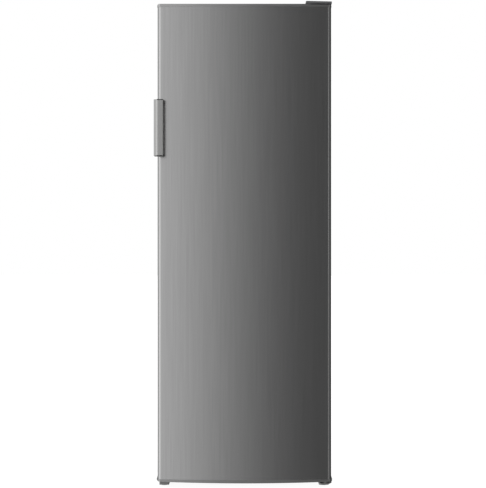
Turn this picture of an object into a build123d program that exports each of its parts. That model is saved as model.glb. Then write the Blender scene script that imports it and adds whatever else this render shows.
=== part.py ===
from build123d import *
from math import sqrt
import os

os.makedirs("parts", exist_ok=True)

# Upright refrigerator with one door, hinged on its right.
# Millimetres. X runs to the right, Y to the back, Z up from the floor.
# The origin is on the floor, under the middle of the whole depth and width.

# Clearances
FIT = 0.3
RUNNING_FIT = 0.08
SLIDE_GAP = 0.4
DRAWER_GAP = 1.5

# Door shell
DOOR_WIDTH = 595.0
DOOR_HEIGHT = 1634.0
DOOR_GROUND_GAP = 24.5
DOOR_EDGE_DEPTH = 60.0
DOOR_BOW = 17.0
DOOR_CORNER_RADIUS = 11.0
DOOR_FRONT_DIP = 3.2
DOOR_SKIN = 1.0
DOOR_RETURN = 12.0
CAP_BAND = 11.0
BOTTOM_CAP_BAND = 8.0
CAP_WALL = 2.4
CAP_FLOOR = 3.0
CAP_PROUD = 0.8
CAP_CORNER_RADIUS = 7.0
EAR_REACH = 3.2
EAR_HEIGHT = 18.0
EAR_LOWER_RISE = 8.0
EAR_CORNER_RADIUS = 8.0

# Door inside
DOOR_LINER = 2.5
DYKE_REACH = 38.0
DYKE_BAND = 20.0
DYKE_CLEARANCE = 12.5
DYKE_RADIUS = 14.0
GASKET_GAP = 10.0
GASKET_BAND = 15.0
GASKET_INSET = 19.0
GASKET_LIP = 3.0
RACK_REACH = 110.0
RACK_WALL = 2.5
RACK_CORNER_RADIUS = 14.0
RACK_HEIGHT = 70.0
RACK_COUNT = 3
RACK_FIRST_RISE = 345.0
RACK_LEDGE_DEPTH = 30.0
RACK_LEDGE_WIDTH = 8.0
RACK_LEDGE_HEIGHT = 9.0
BOTTLE_RACK_HEIGHT = 92.0
DAIRY_DROP = 238.5
DAIRY_HEIGHT = 112.0
DAIRY_TRAY_HEIGHT = 42.0
LID_WALL = 2.5
LID_PIVOT_RADIUS = 3.0
LID_PIVOT_SETBACK = 11.0
LID_PIVOT_DROP = 8.0
LID_BEND_RADIUS = 18.0
HOLDER_WIDTH = 26.0
HOLDER_WALL = 2.5
HOLDER_REACH = 42.0

# Handle
HANDLE_REACH = 30.0
HANDLE_OVERHANG = 11.5
HANDLE_DROP = 329.0
HANDLE_LENGTH = 194.0
HANDLE_GRIP_WIDTH = 21.0
HANDLE_GRIP_WALL = 7.0
HANDLE_FLANK_DEPTH = 13.0
HANDLE_LEG_LENGTH = 38.0
HANDLE_EDGE_RADIUS = 1.5
HANDLE_END_CAP = 3.0
HANDLE_FACE_GAP = 1.0
HANDLE_SCREW_SETBACK = 26.0
HANDLE_SCREW_MARGIN = 32.0
BACKING_PLATE_WALL = 3.0
BACKING_PLATE_WIDTH = 24.0
BACKING_POCKET_DEPTH = 14.0

# Hinges
HINGE_INSET = 18.0
HINGE_SETBACK = 22.0
HINGE_PIN_RADIUS = 4.0
HINGE_PIN_DEPTH = 14.0
HINGE_BUSH_WALL = 2.5
HINGE_BUSH_DEPTH = 16.0
HINGE_TOP_GAP = 2.0
HINGE_BOTTOM_GAP = 6.5
TOP_PLATE = 3.0
TOP_PLATE_REACH_X = 58.0
TOP_PLATE_REACH_Y = 46.0
TOP_PLATE_NOSE = 10.0
PIN_HEAD_RADIUS = 6.5
PIN_HEAD = 1.8
COVER_WIDTH = 88.6
COVER_HEIGHT = 10.0
COVER_FALL = 2.0
COVER_WALL = 2.0
COVER_REAR_REACH = 54.0
COVER_FRONT_SETBACK = 8.0
COVER_SIDE_PROUD = 2.2
BOTTOM_PLATE = 3.5
BOTTOM_PLATE_REACH_Y = 52.0
BOTTOM_PLATE_NOSE = 12.0
BOTTOM_PLATE_CUT_X = 10.0
BOTTOM_PLATE_CUT_Y = 26.0

# Screws
SCREW_RADIUS = 2.4
SCREW_HEAD_RADIUS = 4.6
SCREW_HEAD = 2.2
SCREW_LENGTH = 9.0

# Cabinet shell
CABINET_DEPTH = 540.0
SHEET = 1.0
FRONT_RETURN = 24.0
WRAP_RADIUS = 5.0
SIDE_WALL = 45.0
TOP_WALL = 50.0
FLOOR_WALL = 64.0
BACK_WALL = 50.0
LINER = 2.0
LINER_FLANGE_DROP = 24.0
BAY_DEPTH = 180.0
BAY_HEIGHT = 242.0
BAY_WALL = 40.0

# Feet, rail and rollers
RAIL_HEIGHT = 10.0
RAIL_DEPTH = 56.0
RAIL_WALL = 1.5
LEFT_FOOT_INSET = 20.2
RIGHT_FOOT_INSET = 22.8
FOOT_SETBACK = 14.0
FOOT_PAD_RADIUS = 14.5
FOOT_PAD = 4.0
FOOT_STEM_RADIUS = 5.0
FOOT_STEM_LENGTH = 50.0
FOOT_NUT_WALL = 4.0
FOOT_NUT_HEIGHT = 32.0
FOOT_BLOCK_WIDTH = 34.0
FOOT_BLOCK_REACH = 34.0
FOOT_BLOCK_REAR = 20.0
FOOT_BLOCK_RADIUS = 3.0
ROLLER_RADIUS = 17.0
ROLLER_WIDTH = 20.0
ROLLER_INSET = 34.0
ROLLER_SETBACK = 38.0
AXLE_RADIUS = 3.0
CHEEK_WALL = 2.0
CHEEK_WIDTH = 26.0

# Cold space
SHELF_SETBACK = 115.0
SHELF_COUNT = 4
SHELF_GLASS = 4.0
SHELF_SIDE_GAP = 2.0
SHELF_REAR_GAP = 12.0
SHELF_TRIM_DEPTH = 15.0
SHELF_TRIM_HEIGHT = 13.0
SHELF_TRIM_WALL = 2.5
RIB_WIDTH = 9.0
RIB_HEIGHT = 6.0
CRISPER_WALL = 2.5
CRISPER_LIP = 12.0
CRISPER_LIP_DROP = 14.0
CRISPER_RAIL_WIDTH = 15.5
CRISPER_RADIUS = 12.0
HOUSING_WIDTH = 220.0
HOUSING_SETBACK = 10.0
HOUSING_DEPTH = 140.0
HOUSING_HEIGHT = 36.0
HOUSING_WALL = 2.5
HOUSING_RADIUS = 8.0
KNOB_OFFSET = 72.0
KNOB_RADIUS = 15.5
KNOB_LENGTH = 13.0
KNOB_GRIP_WIDTH = 6.0
KNOB_GRIP_HEIGHT = 5.0
THERMOSTAT_SIZE = 26.0
THERMOSTAT_SHAFT_RADIUS = 3.0
LAMP_OFFSET = 40.0
LAMP_WINDOW_WIDTH = 96.0
LAMP_WINDOW_DEPTH = 90.0
LAMP_RADIUS = 9.0
LAMP_LENGTH = 56.0
LAMP_SOCKET_RADIUS = 11.0
LAMP_SOCKET_LENGTH = 18.0
SWITCH_OFFSET = 150.0
SWITCH_WIDTH = 26.0
SWITCH_DEPTH = 34.0
PLUNGER_RADIUS = 4.0
PLUNGER_STUB = 2.0
PLUNGER_LENGTH = 16.0

# Cooling
CONDENSER_REACH = 26.0
CONDENSER_TUBE_RADIUS = 2.5
CONDENSER_TUBE_SETOFF = 15.0
CONDENSER_SIDE_GAP = 77.5
CONDENSER_PASSES = 15
CONDENSER_PITCH = 66.0
CONDENSER_RISE = 70.0
WIRE_RADIUS = 0.8
WIRE_MARGIN = 22.0
WIRE_COUNT = 23
WIRE_OVERRUN = 14.0
WELD_GAP = 0.05
CLIP_WIDTH = 12.0
CLIP_HEIGHT = 18.0
COMPRESSOR_OFFSET = 30.0
COMPRESSOR_HALF_LENGTH = 88.0
COMPRESSOR_HALF_DEPTH = 66.0
COMPRESSOR_HEIGHT = 165.0
COMPRESSOR_RADIUS = 34.0
COMPRESSOR_SEAM = 3.0
COMPRESSOR_SEAM_HEIGHT = 7.0
COMPRESSOR_FOOT = 3.0
COMPRESSOR_FOOT_LENGTH = 200.0
COMPRESSOR_FOOT_DEPTH = 116.0
GROMMET_RADIUS = 11.0
GROMMET_HEIGHT = 13.0
GROMMET_INSET = 15.0
CARRIER_PLATE = 2.5
CARRIER_RISE = 8.0
CARRIER_FLANGE = 22.0
RELAY_LENGTH = 34.0
RELAY_DEPTH = 62.0
RELAY_HEIGHT = 60.0
TRAY_LENGTH = 186.0
TRAY_DEPTH = 134.0
TRAY_HEIGHT = 26.0
TRAY_WALL = 2.0
LINE_RADIUS = 3.0
LINE_BEND = 14.0
LINE_STEP = 30.0
DRIER_RADIUS = 9.5
DRIER_LENGTH = 106.0
DRIER_INSET = 35.5
DRIER_DROP = 74.0
DRIER_SETBACK = 45.0
CAPILLARY_RADIUS = 1.2
PLATE_WIDTH = 420.0
PLATE_HEIGHT = 780.0
PLATE_WALL = 1.2
PLATE_TOP_DROP = 130.0
COLD_TUBE_RADIUS = 4.0
COLD_TUBE_PASSES = 6
COLD_TUBE_PITCH = 130.0
DRAIN_RADIUS = 5.0
DRAIN_WALL = 1.5
TROUGH_WIDTH = 300.0
TROUGH_HEIGHT = 8.0
GLAND_RADIUS = 8.0
GLAND_BORE = 3.6
GLAND_LENGTH = 16.0
GLAND_COLLAR = 3.0

# Planes and levels worked out from the sizes above
overall_depth = HANDLE_REACH + DOOR_EDGE_DEPTH + GASKET_GAP + CABINET_DEPTH + CONDENSER_REACH
front_y = -overall_depth / 2
edge_y = front_y + HANDLE_REACH
crown_y = edge_y - DOOR_BOW
door_back_y = edge_y + DOOR_EDGE_DEPTH
cabinet_front_y = door_back_y + GASKET_GAP
cabinet_back_y = cabinet_front_y + CABINET_DEPTH
door_half = DOOR_WIDTH / 2
door_bottom_z = DOOR_GROUND_GAP
door_top_z = DOOR_GROUND_GAP + DOOR_HEIGHT
bow_radius = (door_half**2 + DOOR_BOW**2) / (2 * DOOR_BOW)
hinge_x = door_half - HINGE_INSET
hinge_y = edge_y + HINGE_SETBACK
plate_top_z = door_bottom_z - HINGE_BOTTOM_GAP
plate_bottom_z = plate_top_z - BOTTOM_PLATE
cabinet_half = door_half
cabinet_bottom_z = plate_top_z + RAIL_HEIGHT
cabinet_top_z = door_top_z + HINGE_TOP_GAP
cavity_half = cabinet_half - SIDE_WALL
cavity_floor_z = cabinet_bottom_z + FLOOR_WALL
cavity_top_z = cabinet_top_z - TOP_WALL
cavity_back_y = cabinet_back_y - BACK_WALL
bay_front_y = cabinet_back_y - BAY_DEPTH
bay_top_z = cabinet_bottom_z + BAY_HEIGHT
hump_front_y = bay_front_y - BAY_WALL
hump_top_z = bay_top_z + BAY_WALL
shelf_front_y = cabinet_front_y + SHELF_SETBACK
left_foot_x = -cabinet_half + LEFT_FOOT_INSET
right_foot_x = cabinet_half - RIGHT_FOOT_INSET
foot_y = cabinet_front_y + FOOT_SETBACK
foot_places = [(left_foot_x, foot_y), (right_foot_x, foot_y)]


def level(z):
    """Horizontal plane at height z."""
    return Plane.XY.offset(z)


def across(y):
    """Upright plane at depth y, seen from the front: its extrusions run towards the front."""
    return Plane.XZ.offset(-y)


def along(x):
    """Upright plane at x, seen from the right: its extrusions run towards the right."""
    return Plane.YZ.offset(x)


def face_y(x):
    """Depth of the door's bowed face at a distance x from its middle."""
    return crown_y + bow_radius - sqrt(bow_radius**2 - x**2)


def door_plan(inset, back_y):
    """Plan of the door: bowed front, straight sides and back, rounded front corners."""
    half = door_half - inset
    side_y = edge_y + inset
    with BuildSketch() as plan:
        with BuildLine():
            ThreePointArc((-half, side_y), (0, crown_y + inset), (half, side_y))
            Polyline((half, side_y), (half, back_y), (-half, back_y), (-half, side_y))
        make_face()
        fillet(plan.vertices().group_by(Axis.Y)[0], DOOR_CORNER_RADIUS - inset)
    return plan.sketch


def framed_band(low_x, low_z, high_x, high_z, band, radius, y):
    """Upright rectangular ring of the given band width, on the plane at depth y."""
    middle = ((low_x + high_x) / 2, (low_z + high_z) / 2)
    width = high_x - low_x
    height = high_z - low_z
    with BuildSketch(across(y)) as ring:
        with Locations(middle):
            RectangleRounded(width, height, radius)
            RectangleRounded(
                width - 2 * band, height - 2 * band, max(radius - band, 1), mode=Mode.SUBTRACT
            )
    return ring.sketch


# Door side profile: flat ends behind the corners, dipping with the bow in front of them
with BuildPart() as door_envelope:
    with BuildSketch(Plane.YZ):
        with BuildLine():
            Polyline(
                (door_back_y, door_bottom_z),
                (edge_y, door_bottom_z),
                (crown_y - CAP_PROUD, door_bottom_z - DOOR_FRONT_DIP),
                (crown_y - CAP_PROUD, door_top_z - DOOR_FRONT_DIP),
                (edge_y, door_top_z),
                (door_back_y, door_top_z),
                close=True,
            )
        make_face()
    extrude(amount=DOOR_WIDTH, both=True)



def corner_waste(corner_x, corner_z, radius, upward):
    """Block that a cut takes off, so that a corner of the door is round in front view."""
    inward = radius if corner_x < 0 else -radius
    with BuildPart() as waste:
        with BuildSketch(across(door_back_y)):
            with Locations((corner_x, corner_z)):
                Rectangle(2 * radius, 2 * radius)
            with Locations((corner_x + inward, corner_z - upward * radius)):
                Circle(radius, mode=Mode.SUBTRACT)
        extrude(amount=DOOR_EDGE_DEPTH + 2 * DOOR_BOW)
    return waste.part


skin_bottom_z = door_bottom_z + BOTTOM_CAP_BAND
skin_top_z = door_top_z - CAP_BAND
skin_outline = door_plan(0, door_back_y)
skin_inside = door_plan(DOOR_SKIN, door_back_y - DOOR_SKIN)
cap_outline = door_plan(-CAP_PROUD, door_back_y)
cap_inside = door_plan(CAP_WALL, door_back_y - CAP_WALL)
core_outline = door_plan(DOOR_SKIN, door_back_y - DOOR_LINER)
bush_radius = HINGE_PIN_RADIUS + RUNNING_FIT + HINGE_BUSH_WALL
handle_top_z = door_top_z - HANDLE_DROP
handle_bottom_z = handle_top_z - HANDLE_LENGTH
handle_screw_y = edge_y + HANDLE_SCREW_SETBACK
handle_screw_heights = (handle_bottom_z + HANDLE_SCREW_MARGIN, handle_top_z - HANDLE_SCREW_MARGIN)

# Door skin: bowed sheet with its sides and the narrow returns at the back
with BuildPart() as door_skin:
    with BuildSketch(level(skin_bottom_z)):
        add(skin_outline)
        add(skin_inside, mode=Mode.SUBTRACT)
        with Locations((0, door_back_y)):
            Rectangle(DOOR_WIDTH - 2 * DOOR_RETURN, 4 * DOOR_SKIN, mode=Mode.SUBTRACT)
    extrude(amount=skin_top_z - skin_bottom_z)
    for height in handle_screw_heights:
        with Locations(Location((-door_half, handle_screw_y, height), (0, 90, 0))):
            Cylinder(SCREW_RADIUS + FIT, 4 * DOOR_SKIN, mode=Mode.SUBTRACT)
door_skin.part.label = "door_skin"
export_step(door_skin.part, "parts/door_skin.step")

# Top cap: hollow moulding that closes the upper end of the skin
with BuildPart() as door_top_cap:
    with BuildSketch(level(skin_top_z)):
        add(cap_outline)
    extrude(amount=CAP_BAND)
    with BuildSketch(level(skin_top_z)):
        add(cap_inside)
    extrude(amount=CAP_BAND - CAP_FLOOR - DOOR_FRONT_DIP, mode=Mode.SUBTRACT)
    add(door_envelope.part, mode=Mode.INTERSECT)
    for corner_x in (-door_half - CAP_PROUD, door_half + CAP_PROUD):
        add(corner_waste(corner_x, door_top_z, CAP_CORNER_RADIUS, 1), mode=Mode.SUBTRACT)
    with Locations((hinge_x, hinge_y, door_top_z)):
        Cylinder(bush_radius + FIT, 2 * CAP_BAND, mode=Mode.SUBTRACT)
door_top_cap.part.label = "door_top_cap"
export_step(door_top_cap.part, "parts/door_top_cap.step")

# Bottom cap: hollow moulding whose ends flare out past the door's sides
ear_front_y = edge_y + DOOR_CORNER_RADIUS
with BuildPart() as door_bottom_cap:
    with BuildSketch(level(door_bottom_z - DOOR_FRONT_DIP)):
        add(cap_outline)
    extrude(amount=BOTTOM_CAP_BAND + DOOR_FRONT_DIP)
    with BuildSketch(level(skin_bottom_z)):
        add(cap_inside)
    extrude(amount=CAP_FLOOR - BOTTOM_CAP_BAND, mode=Mode.SUBTRACT)
    add(door_envelope.part, mode=Mode.INTERSECT)
    for side in (-1, 1):
        with BuildSketch(across(door_back_y)):
            with BuildLine():
                Polyline(
                    (side * (door_half - CAP_WALL), door_bottom_z),
                    (side * (door_half - CAP_WALL), skin_bottom_z),
                    (side * door_half, skin_bottom_z),
                    (side * door_half, door_bottom_z + EAR_HEIGHT),
                    (side * (door_half + EAR_REACH), door_bottom_z + EAR_LOWER_RISE),
                    (side * (door_half + EAR_REACH), door_bottom_z),
                    close=True,
                )
            make_face()
        extrude(amount=door_back_y - ear_front_y)
    add(
        corner_waste(-door_half - EAR_REACH, door_bottom_z, EAR_CORNER_RADIUS, -1),
        mode=Mode.SUBTRACT,
    )
    with Locations((hinge_x, hinge_y, door_bottom_z)):
        Cylinder(bush_radius + FIT, 2 * BOTTOM_CAP_BAND + 1, mode=Mode.SUBTRACT)
door_bottom_cap.part.label = "door_bottom_cap"
export_step(door_bottom_cap.part, "parts/door_bottom_cap.step")

# Raised dyke on the back of the door, which reaches into the cold space
dyke_half = cavity_half - DYKE_CLEARANCE
dyke_bottom_z = cavity_floor_z + DYKE_CLEARANCE
dyke_top_z = cavity_top_z - DYKE_CLEARANCE
dyke_back_y = door_back_y + DYKE_REACH
bay_half = dyke_half - DYKE_BAND
bay_bottom_z = dyke_bottom_z + DYKE_BAND
dairy_z = dyke_top_z - DYKE_BAND - DAIRY_DROP
first_rack_z = bay_bottom_z + RACK_FIRST_RISE
rack_pitch = (dairy_z - first_rack_z) / RACK_COUNT
rack_levels = [first_rack_z + i * rack_pitch for i in range(RACK_COUNT)]
bottle_rack_z = bay_bottom_z + RACK_LEDGE_HEIGHT + FIT
ledge_levels = [bottle_rack_z, *rack_levels, dairy_z]
dyke_ring = framed_band(
    -dyke_half, dyke_bottom_z, dyke_half, dyke_top_z, DYKE_BAND, DYKE_RADIUS, dyke_back_y
)
dyke_hollow = framed_band(
    -dyke_half + DOOR_LINER,
    dyke_bottom_z + DOOR_LINER,
    dyke_half - DOOR_LINER,
    dyke_top_z - DOOR_LINER,
    DYKE_BAND - 2 * DOOR_LINER,
    DYKE_RADIUS - DOOR_LINER,
    dyke_back_y - DOOR_LINER,
)

# Door liner: flat sheet that closes the door's back inside the skin's returns
with BuildPart() as door_liner:
    with BuildSketch(across(door_back_y)):
        with Locations((0, (skin_bottom_z + skin_top_z) / 2)):
            Rectangle(
                DOOR_WIDTH - 2 * (DOOR_RETURN + FIT), skin_top_z - skin_bottom_z - 2 * FIT
            )
    extrude(amount=DOOR_LINER)
door_liner.part.label = "door_liner"
export_step(door_liner.part, "parts/door_liner.step")

# Door dyke: hollow raised frame on the liner, with a pair of ledges for each rack
with BuildPart() as door_dyke:
    extrude(dyke_ring, amount=DYKE_REACH)
    extrude(dyke_hollow, amount=DYKE_REACH - DOOR_LINER, mode=Mode.SUBTRACT)
    for height in ledge_levels:
        for side in (-1, 1):
            with Locations(
                (
                    side * (bay_half - RACK_LEDGE_WIDTH / 2),
                    door_back_y + RACK_LEDGE_DEPTH / 2,
                    height - RACK_LEDGE_HEIGHT / 2,
                )
            ):
                Box(RACK_LEDGE_WIDTH, RACK_LEDGE_DEPTH, RACK_LEDGE_HEIGHT)
door_dyke.part.label = "door_dyke"
export_step(door_dyke.part, "parts/door_dyke.step")

# Door foam: fills the skin and the caps, round the handle's backing plate
backing_x = -door_half + DOOR_SKIN
backing_height = HANDLE_LENGTH - HANDLE_SCREW_MARGIN
handle_middle_z = handle_top_z - HANDLE_LENGTH / 2
with BuildPart() as door_foam:
    with BuildSketch(level(skin_bottom_z)):
        add(core_outline)
    extrude(amount=skin_top_z - skin_bottom_z)
    with BuildSketch(level(skin_top_z)):
        add(cap_inside)
    extrude(amount=CAP_BAND - CAP_FLOOR - DOOR_FRONT_DIP)
    with BuildSketch(level(skin_bottom_z)):
        add(cap_inside)
    extrude(amount=CAP_FLOOR - BOTTOM_CAP_BAND)
    for height in (door_bottom_z, door_top_z):
        with Locations((hinge_x, hinge_y, height)):
            Cylinder(bush_radius + FIT, 2 * HINGE_BUSH_DEPTH + 1, mode=Mode.SUBTRACT)
    with Locations((backing_x + BACKING_POCKET_DEPTH / 2, handle_screw_y, handle_middle_z)):
        Box(
            BACKING_POCKET_DEPTH,
            BACKING_PLATE_WIDTH + 2 * FIT,
            backing_height + 2 * FIT,
            mode=Mode.SUBTRACT,
        )
door_foam.part.label = "door_foam"
export_step(door_foam.part, "parts/door_foam.step")

# Magnetic gasket: hollow-look rubber frame between the door and the cabinet's front
gasket_half = door_half - GASKET_INSET
gasket_body = framed_band(
    -gasket_half,
    cavity_floor_z - SIDE_WALL + GASKET_INSET,
    gasket_half,
    cabinet_top_z - GASKET_INSET - HINGE_TOP_GAP,
    GASKET_BAND,
    GASKET_LIP,
    door_back_y + GASKET_GAP - FIT,
)
gasket_groove = framed_band(
    -gasket_half + GASKET_LIP,
    cavity_floor_z - SIDE_WALL + GASKET_INSET + GASKET_LIP,
    gasket_half - GASKET_LIP,
    cabinet_top_z - GASKET_INSET - HINGE_TOP_GAP - GASKET_LIP,
    GASKET_BAND - 2 * GASKET_LIP,
    1,
    door_back_y + GASKET_LIP,
)
with BuildPart() as door_gasket:
    extrude(gasket_body, amount=GASKET_GAP - FIT)
    extrude(gasket_groove, amount=GASKET_LIP, mode=Mode.SUBTRACT)
door_gasket.part.label = "door_gasket"
export_step(door_gasket.part, "parts/door_gasket.step")

# Door racks: open trays between the dyke's sides, each resting on its two ledges
rack_half = bay_half - SLIDE_GAP
rack_back_y = door_back_y + RACK_REACH
rack_rear_y = door_back_y + FIT


def rack_plan(inset):
    """Plan of a door rack, with its two corners on the food side rounded."""
    half = rack_half - inset
    back_y = rack_back_y - inset
    wall_y = rack_rear_y + inset
    with BuildSketch() as plan:
        with Locations((0, (wall_y + back_y) / 2)):
            Rectangle(2 * half, back_y - wall_y)
        fillet(plan.vertices().group_by(Axis.Y)[-1], RACK_CORNER_RADIUS - inset)
    return plan.sketch


def hollow_rack(floor_z, height):
    """A tray of even wall, open at the top."""
    with BuildPart() as rack:
        with BuildSketch(level(floor_z)):
            add(rack_plan(0))
        extrude(amount=height)
        with BuildSketch(level(floor_z + RACK_WALL)):
            add(rack_plan(RACK_WALL))
        extrude(amount=height, mode=Mode.SUBTRACT)
    return rack


for number, height in enumerate(rack_levels, start=1):
    door_rack = hollow_rack(height, RACK_HEIGHT)
    door_rack.part.label = f"door_rack_{number}"
    export_step(door_rack.part, f"parts/door_rack_{number}.step")

bottle_rack = hollow_rack(bottle_rack_z, BOTTLE_RACK_HEIGHT)
bottle_rack.part.label = "bottle_rack"
export_step(bottle_rack.part, "parts/bottle_rack.step")

# Bottle holder: clip that slides along the bottle rack's inner wall
holder_top_z = bottle_rack_z + BOTTLE_RACK_HEIGHT + SLIDE_GAP + HOLDER_WALL
holder_wall_y = rack_back_y - RACK_WALL - SLIDE_GAP
with BuildPart() as bottle_holder:
    with BuildSketch(along(-HOLDER_WIDTH / 2)):
        with BuildLine():
            Polyline(
                (rack_back_y + SLIDE_GAP, holder_top_z - BOTTLE_RACK_HEIGHT / 3),
                (rack_back_y + SLIDE_GAP + HOLDER_WALL, holder_top_z - BOTTLE_RACK_HEIGHT / 3),
                (rack_back_y + SLIDE_GAP + HOLDER_WALL, holder_top_z),
                (holder_wall_y - HOLDER_WALL, holder_top_z),
                (holder_wall_y - HOLDER_WALL, holder_top_z - BOTTLE_RACK_HEIGHT / 3),
                (holder_wall_y, holder_top_z - BOTTLE_RACK_HEIGHT / 3),
                (holder_wall_y, holder_top_z - HOLDER_WALL),
                (rack_back_y + SLIDE_GAP, holder_top_z - HOLDER_WALL),
                close=True,
            )
        make_face()
    extrude(amount=HOLDER_WIDTH)
    with BuildSketch(level(holder_top_z - BOTTLE_RACK_HEIGHT / 3)):
        with Locations((0, holder_wall_y - HOLDER_REACH / 2)):
            Rectangle(HOLDER_WALL, HOLDER_REACH)
    extrude(amount=BOTTLE_RACK_HEIGHT / 3)
bottle_holder.part.label = "bottle_holder"
export_step(bottle_holder.part, "parts/bottle_holder.step")

# Dairy box: tray with two tall ends that carry the lid's pivots
pivot_y = door_back_y + LID_PIVOT_SETBACK
pivot_z = dairy_z + DAIRY_HEIGHT - LID_PIVOT_DROP
lid_low_z = dairy_z + DAIRY_TRAY_HEIGHT + SLIDE_GAP
with BuildPart() as dairy_box:
    add(hollow_rack(dairy_z, DAIRY_HEIGHT).part)
    with Locations((0, (rack_rear_y + rack_back_y) / 2, dairy_z + DAIRY_TRAY_HEIGHT)):
        Box(
            2 * (rack_half - RACK_WALL),
            2 * RACK_REACH,
            DAIRY_HEIGHT,
            align=(Align.CENTER, Align.CENTER, Align.MIN),
            mode=Mode.SUBTRACT,
        )
    with BuildSketch(level(dairy_z + DAIRY_TRAY_HEIGHT)):
        with Locations((0, rack_back_y)):
            Rectangle(2 * rack_half, 2 * RACK_CORNER_RADIUS)
    extrude(amount=DAIRY_HEIGHT, mode=Mode.SUBTRACT)
    with Locations(Location((0, pivot_y, pivot_z), (0, 90, 0))):
        Cylinder(LID_PIVOT_RADIUS + RUNNING_FIT, 2 * rack_half + 1, mode=Mode.SUBTRACT)
dairy_box.part.label = "dairy_box"
export_step(dairy_box.part, "parts/dairy_box.step")

# Dairy lid: bent sheet that turns on two stub pivots in the box's ends
lid_half = rack_half - RACK_WALL - SLIDE_GAP
lid_front_y = rack_back_y - RACK_WALL
lid_top_z = dairy_z + DAIRY_HEIGHT
with BuildPart() as dairy_lid:
    with BuildSketch(along(-lid_half)) as bent_sheet:
        with BuildLine() as outside:
            FilletPolyline(
                (pivot_y - LID_PIVOT_RADIUS, lid_top_z),
                (lid_front_y, lid_top_z),
                (lid_front_y, lid_low_z),
                radius=LID_BEND_RADIUS,
            )
            offset(amount=LID_WALL, side=Side.RIGHT)
        make_face()
    extrude(amount=2 * lid_half)
    with BuildSketch(along(-lid_half)):
        with Locations((pivot_y, pivot_z)):
            Circle(LID_PIVOT_RADIUS)
        with Locations((pivot_y, (pivot_z + lid_top_z - LID_WALL) / 2)):
            Rectangle(2 * LID_PIVOT_RADIUS, lid_top_z - LID_WALL - pivot_z)
    extrude(amount=LID_WALL)
    with BuildSketch(along(lid_half)):
        with Locations((pivot_y, pivot_z)):
            Circle(LID_PIVOT_RADIUS)
        with Locations((pivot_y, (pivot_z + lid_top_z - LID_WALL) / 2)):
            Rectangle(2 * LID_PIVOT_RADIUS, lid_top_z - LID_WALL - pivot_z)
    extrude(amount=-LID_WALL)
    with Locations(Location((0, pivot_y, pivot_z), (0, 90, 0))):
        for side in (-1, 1):
            with Locations((0, 0, side * (lid_half + RACK_WALL / 2))):
                Cylinder(LID_PIVOT_RADIUS, RACK_WALL)
dairy_lid.part.label = "dairy_lid"
export_step(dairy_lid.part, "parts/dairy_lid.step")

# Handle: cast pull on the door's left side, its grip bent in front of the face
grip_right_x = -door_half + HANDLE_GRIP_WIDTH
leg_back_y = edge_y + HANDLE_LEG_LENGTH
handle_left_x = -door_half - HANDLE_OVERHANG
with BuildPart() as handle:
    with BuildSketch(level(handle_bottom_z)) as section:
        with BuildLine():
            Polyline(
                (handle_left_x, leg_back_y),
                (handle_left_x, front_y + HANDLE_FLANK_DEPTH),
                (-door_half, front_y),
                (grip_right_x, front_y),
                (grip_right_x, front_y + HANDLE_GRIP_WALL),
                (-door_half, front_y + HANDLE_GRIP_WALL),
                (-door_half, leg_back_y),
                close=True,
            )
        make_face()
        fillet(section.vertices().group_by(Axis.X)[0], HANDLE_EDGE_RADIUS)
        fillet(section.vertices().group_by(Axis.X)[-1], HANDLE_EDGE_RADIUS)
    extrude(amount=HANDLE_LENGTH)
    for height in (handle_bottom_z + HANDLE_END_CAP / 2, handle_top_z - HANDLE_END_CAP / 2):
        with Locations((-door_half, front_y, height)):
            Box(
                HANDLE_GRIP_WIDTH + FIT,
                HANDLE_REACH,
                HANDLE_END_CAP,
                align=(Align.MIN, Align.CENTER, Align.CENTER),
                mode=Mode.SUBTRACT,
            )
    for height in handle_screw_heights:
        with Locations(Location((handle_left_x, handle_screw_y, height), (0, -90, 0))):
            CounterBoreHole(SCREW_RADIUS + FIT, SCREW_HEAD_RADIUS + FIT, SCREW_HEAD + FIT)
handle.part.label = "handle"
export_step(handle.part, "parts/handle.step")

# Handle end caps: they close the gap behind the grip, above and below
end_cap_x = -door_half + HANDLE_GRIP_WIDTH
end_cap_back_y = face_y(end_cap_x) - HANDLE_FACE_GAP
end_cap_middle_x = -door_half + HANDLE_GRIP_WIDTH / 2
with BuildPart() as handle_end_caps:
    for height in (handle_bottom_z, handle_top_z - HANDLE_END_CAP):
        with BuildSketch(level(height)) as cap_face:
            with Locations((end_cap_middle_x + FIT / 2, (front_y + end_cap_back_y) / 2)):
                Rectangle(HANDLE_GRIP_WIDTH - FIT, end_cap_back_y - front_y)
            fillet(cap_face.vertices().group_by(Axis.X)[-1], HANDLE_EDGE_RADIUS)
        extrude(amount=HANDLE_END_CAP)
handle_end_caps.part.label = "handle_end_caps"
export_step(handle_end_caps.part, "parts/handle_end_caps.step")

# Handle backing plate: steel strip inside the door that the screws bite into
with BuildPart() as handle_backing_plate:
    with Locations((backing_x, handle_screw_y, handle_middle_z)):
        Box(
            BACKING_PLATE_WALL,
            BACKING_PLATE_WIDTH,
            backing_height,
            align=(Align.MIN, Align.CENTER, Align.CENTER),
        )
    for height in handle_screw_heights:
        with Locations(Location((backing_x, handle_screw_y, height), (0, -90, 0))):
            Hole(SCREW_RADIUS + RUNNING_FIT)
handle_backing_plate.part.label = "handle_backing_plate"
export_step(handle_backing_plate.part, "parts/handle_backing_plate.step")

# Handle screws: two, sunk into the handle's leg from the left
with BuildPart() as handle_screws:
    for height in handle_screw_heights:
        with BuildSketch(along(handle_left_x + FIT)):
            with Locations((handle_screw_y, height)):
                Circle(SCREW_HEAD_RADIUS)
        extrude(amount=SCREW_HEAD)
        with BuildSketch(along(handle_left_x + FIT)):
            with Locations((handle_screw_y, height)):
                Circle(SCREW_RADIUS)
        extrude(amount=HANDLE_OVERHANG + DOOR_SKIN + BACKING_PLATE_WALL + SCREW_HEAD)
handle_screws.part.label = "handle_screws"
export_step(handle_screws.part, "parts/handle_screws.step")

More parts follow.
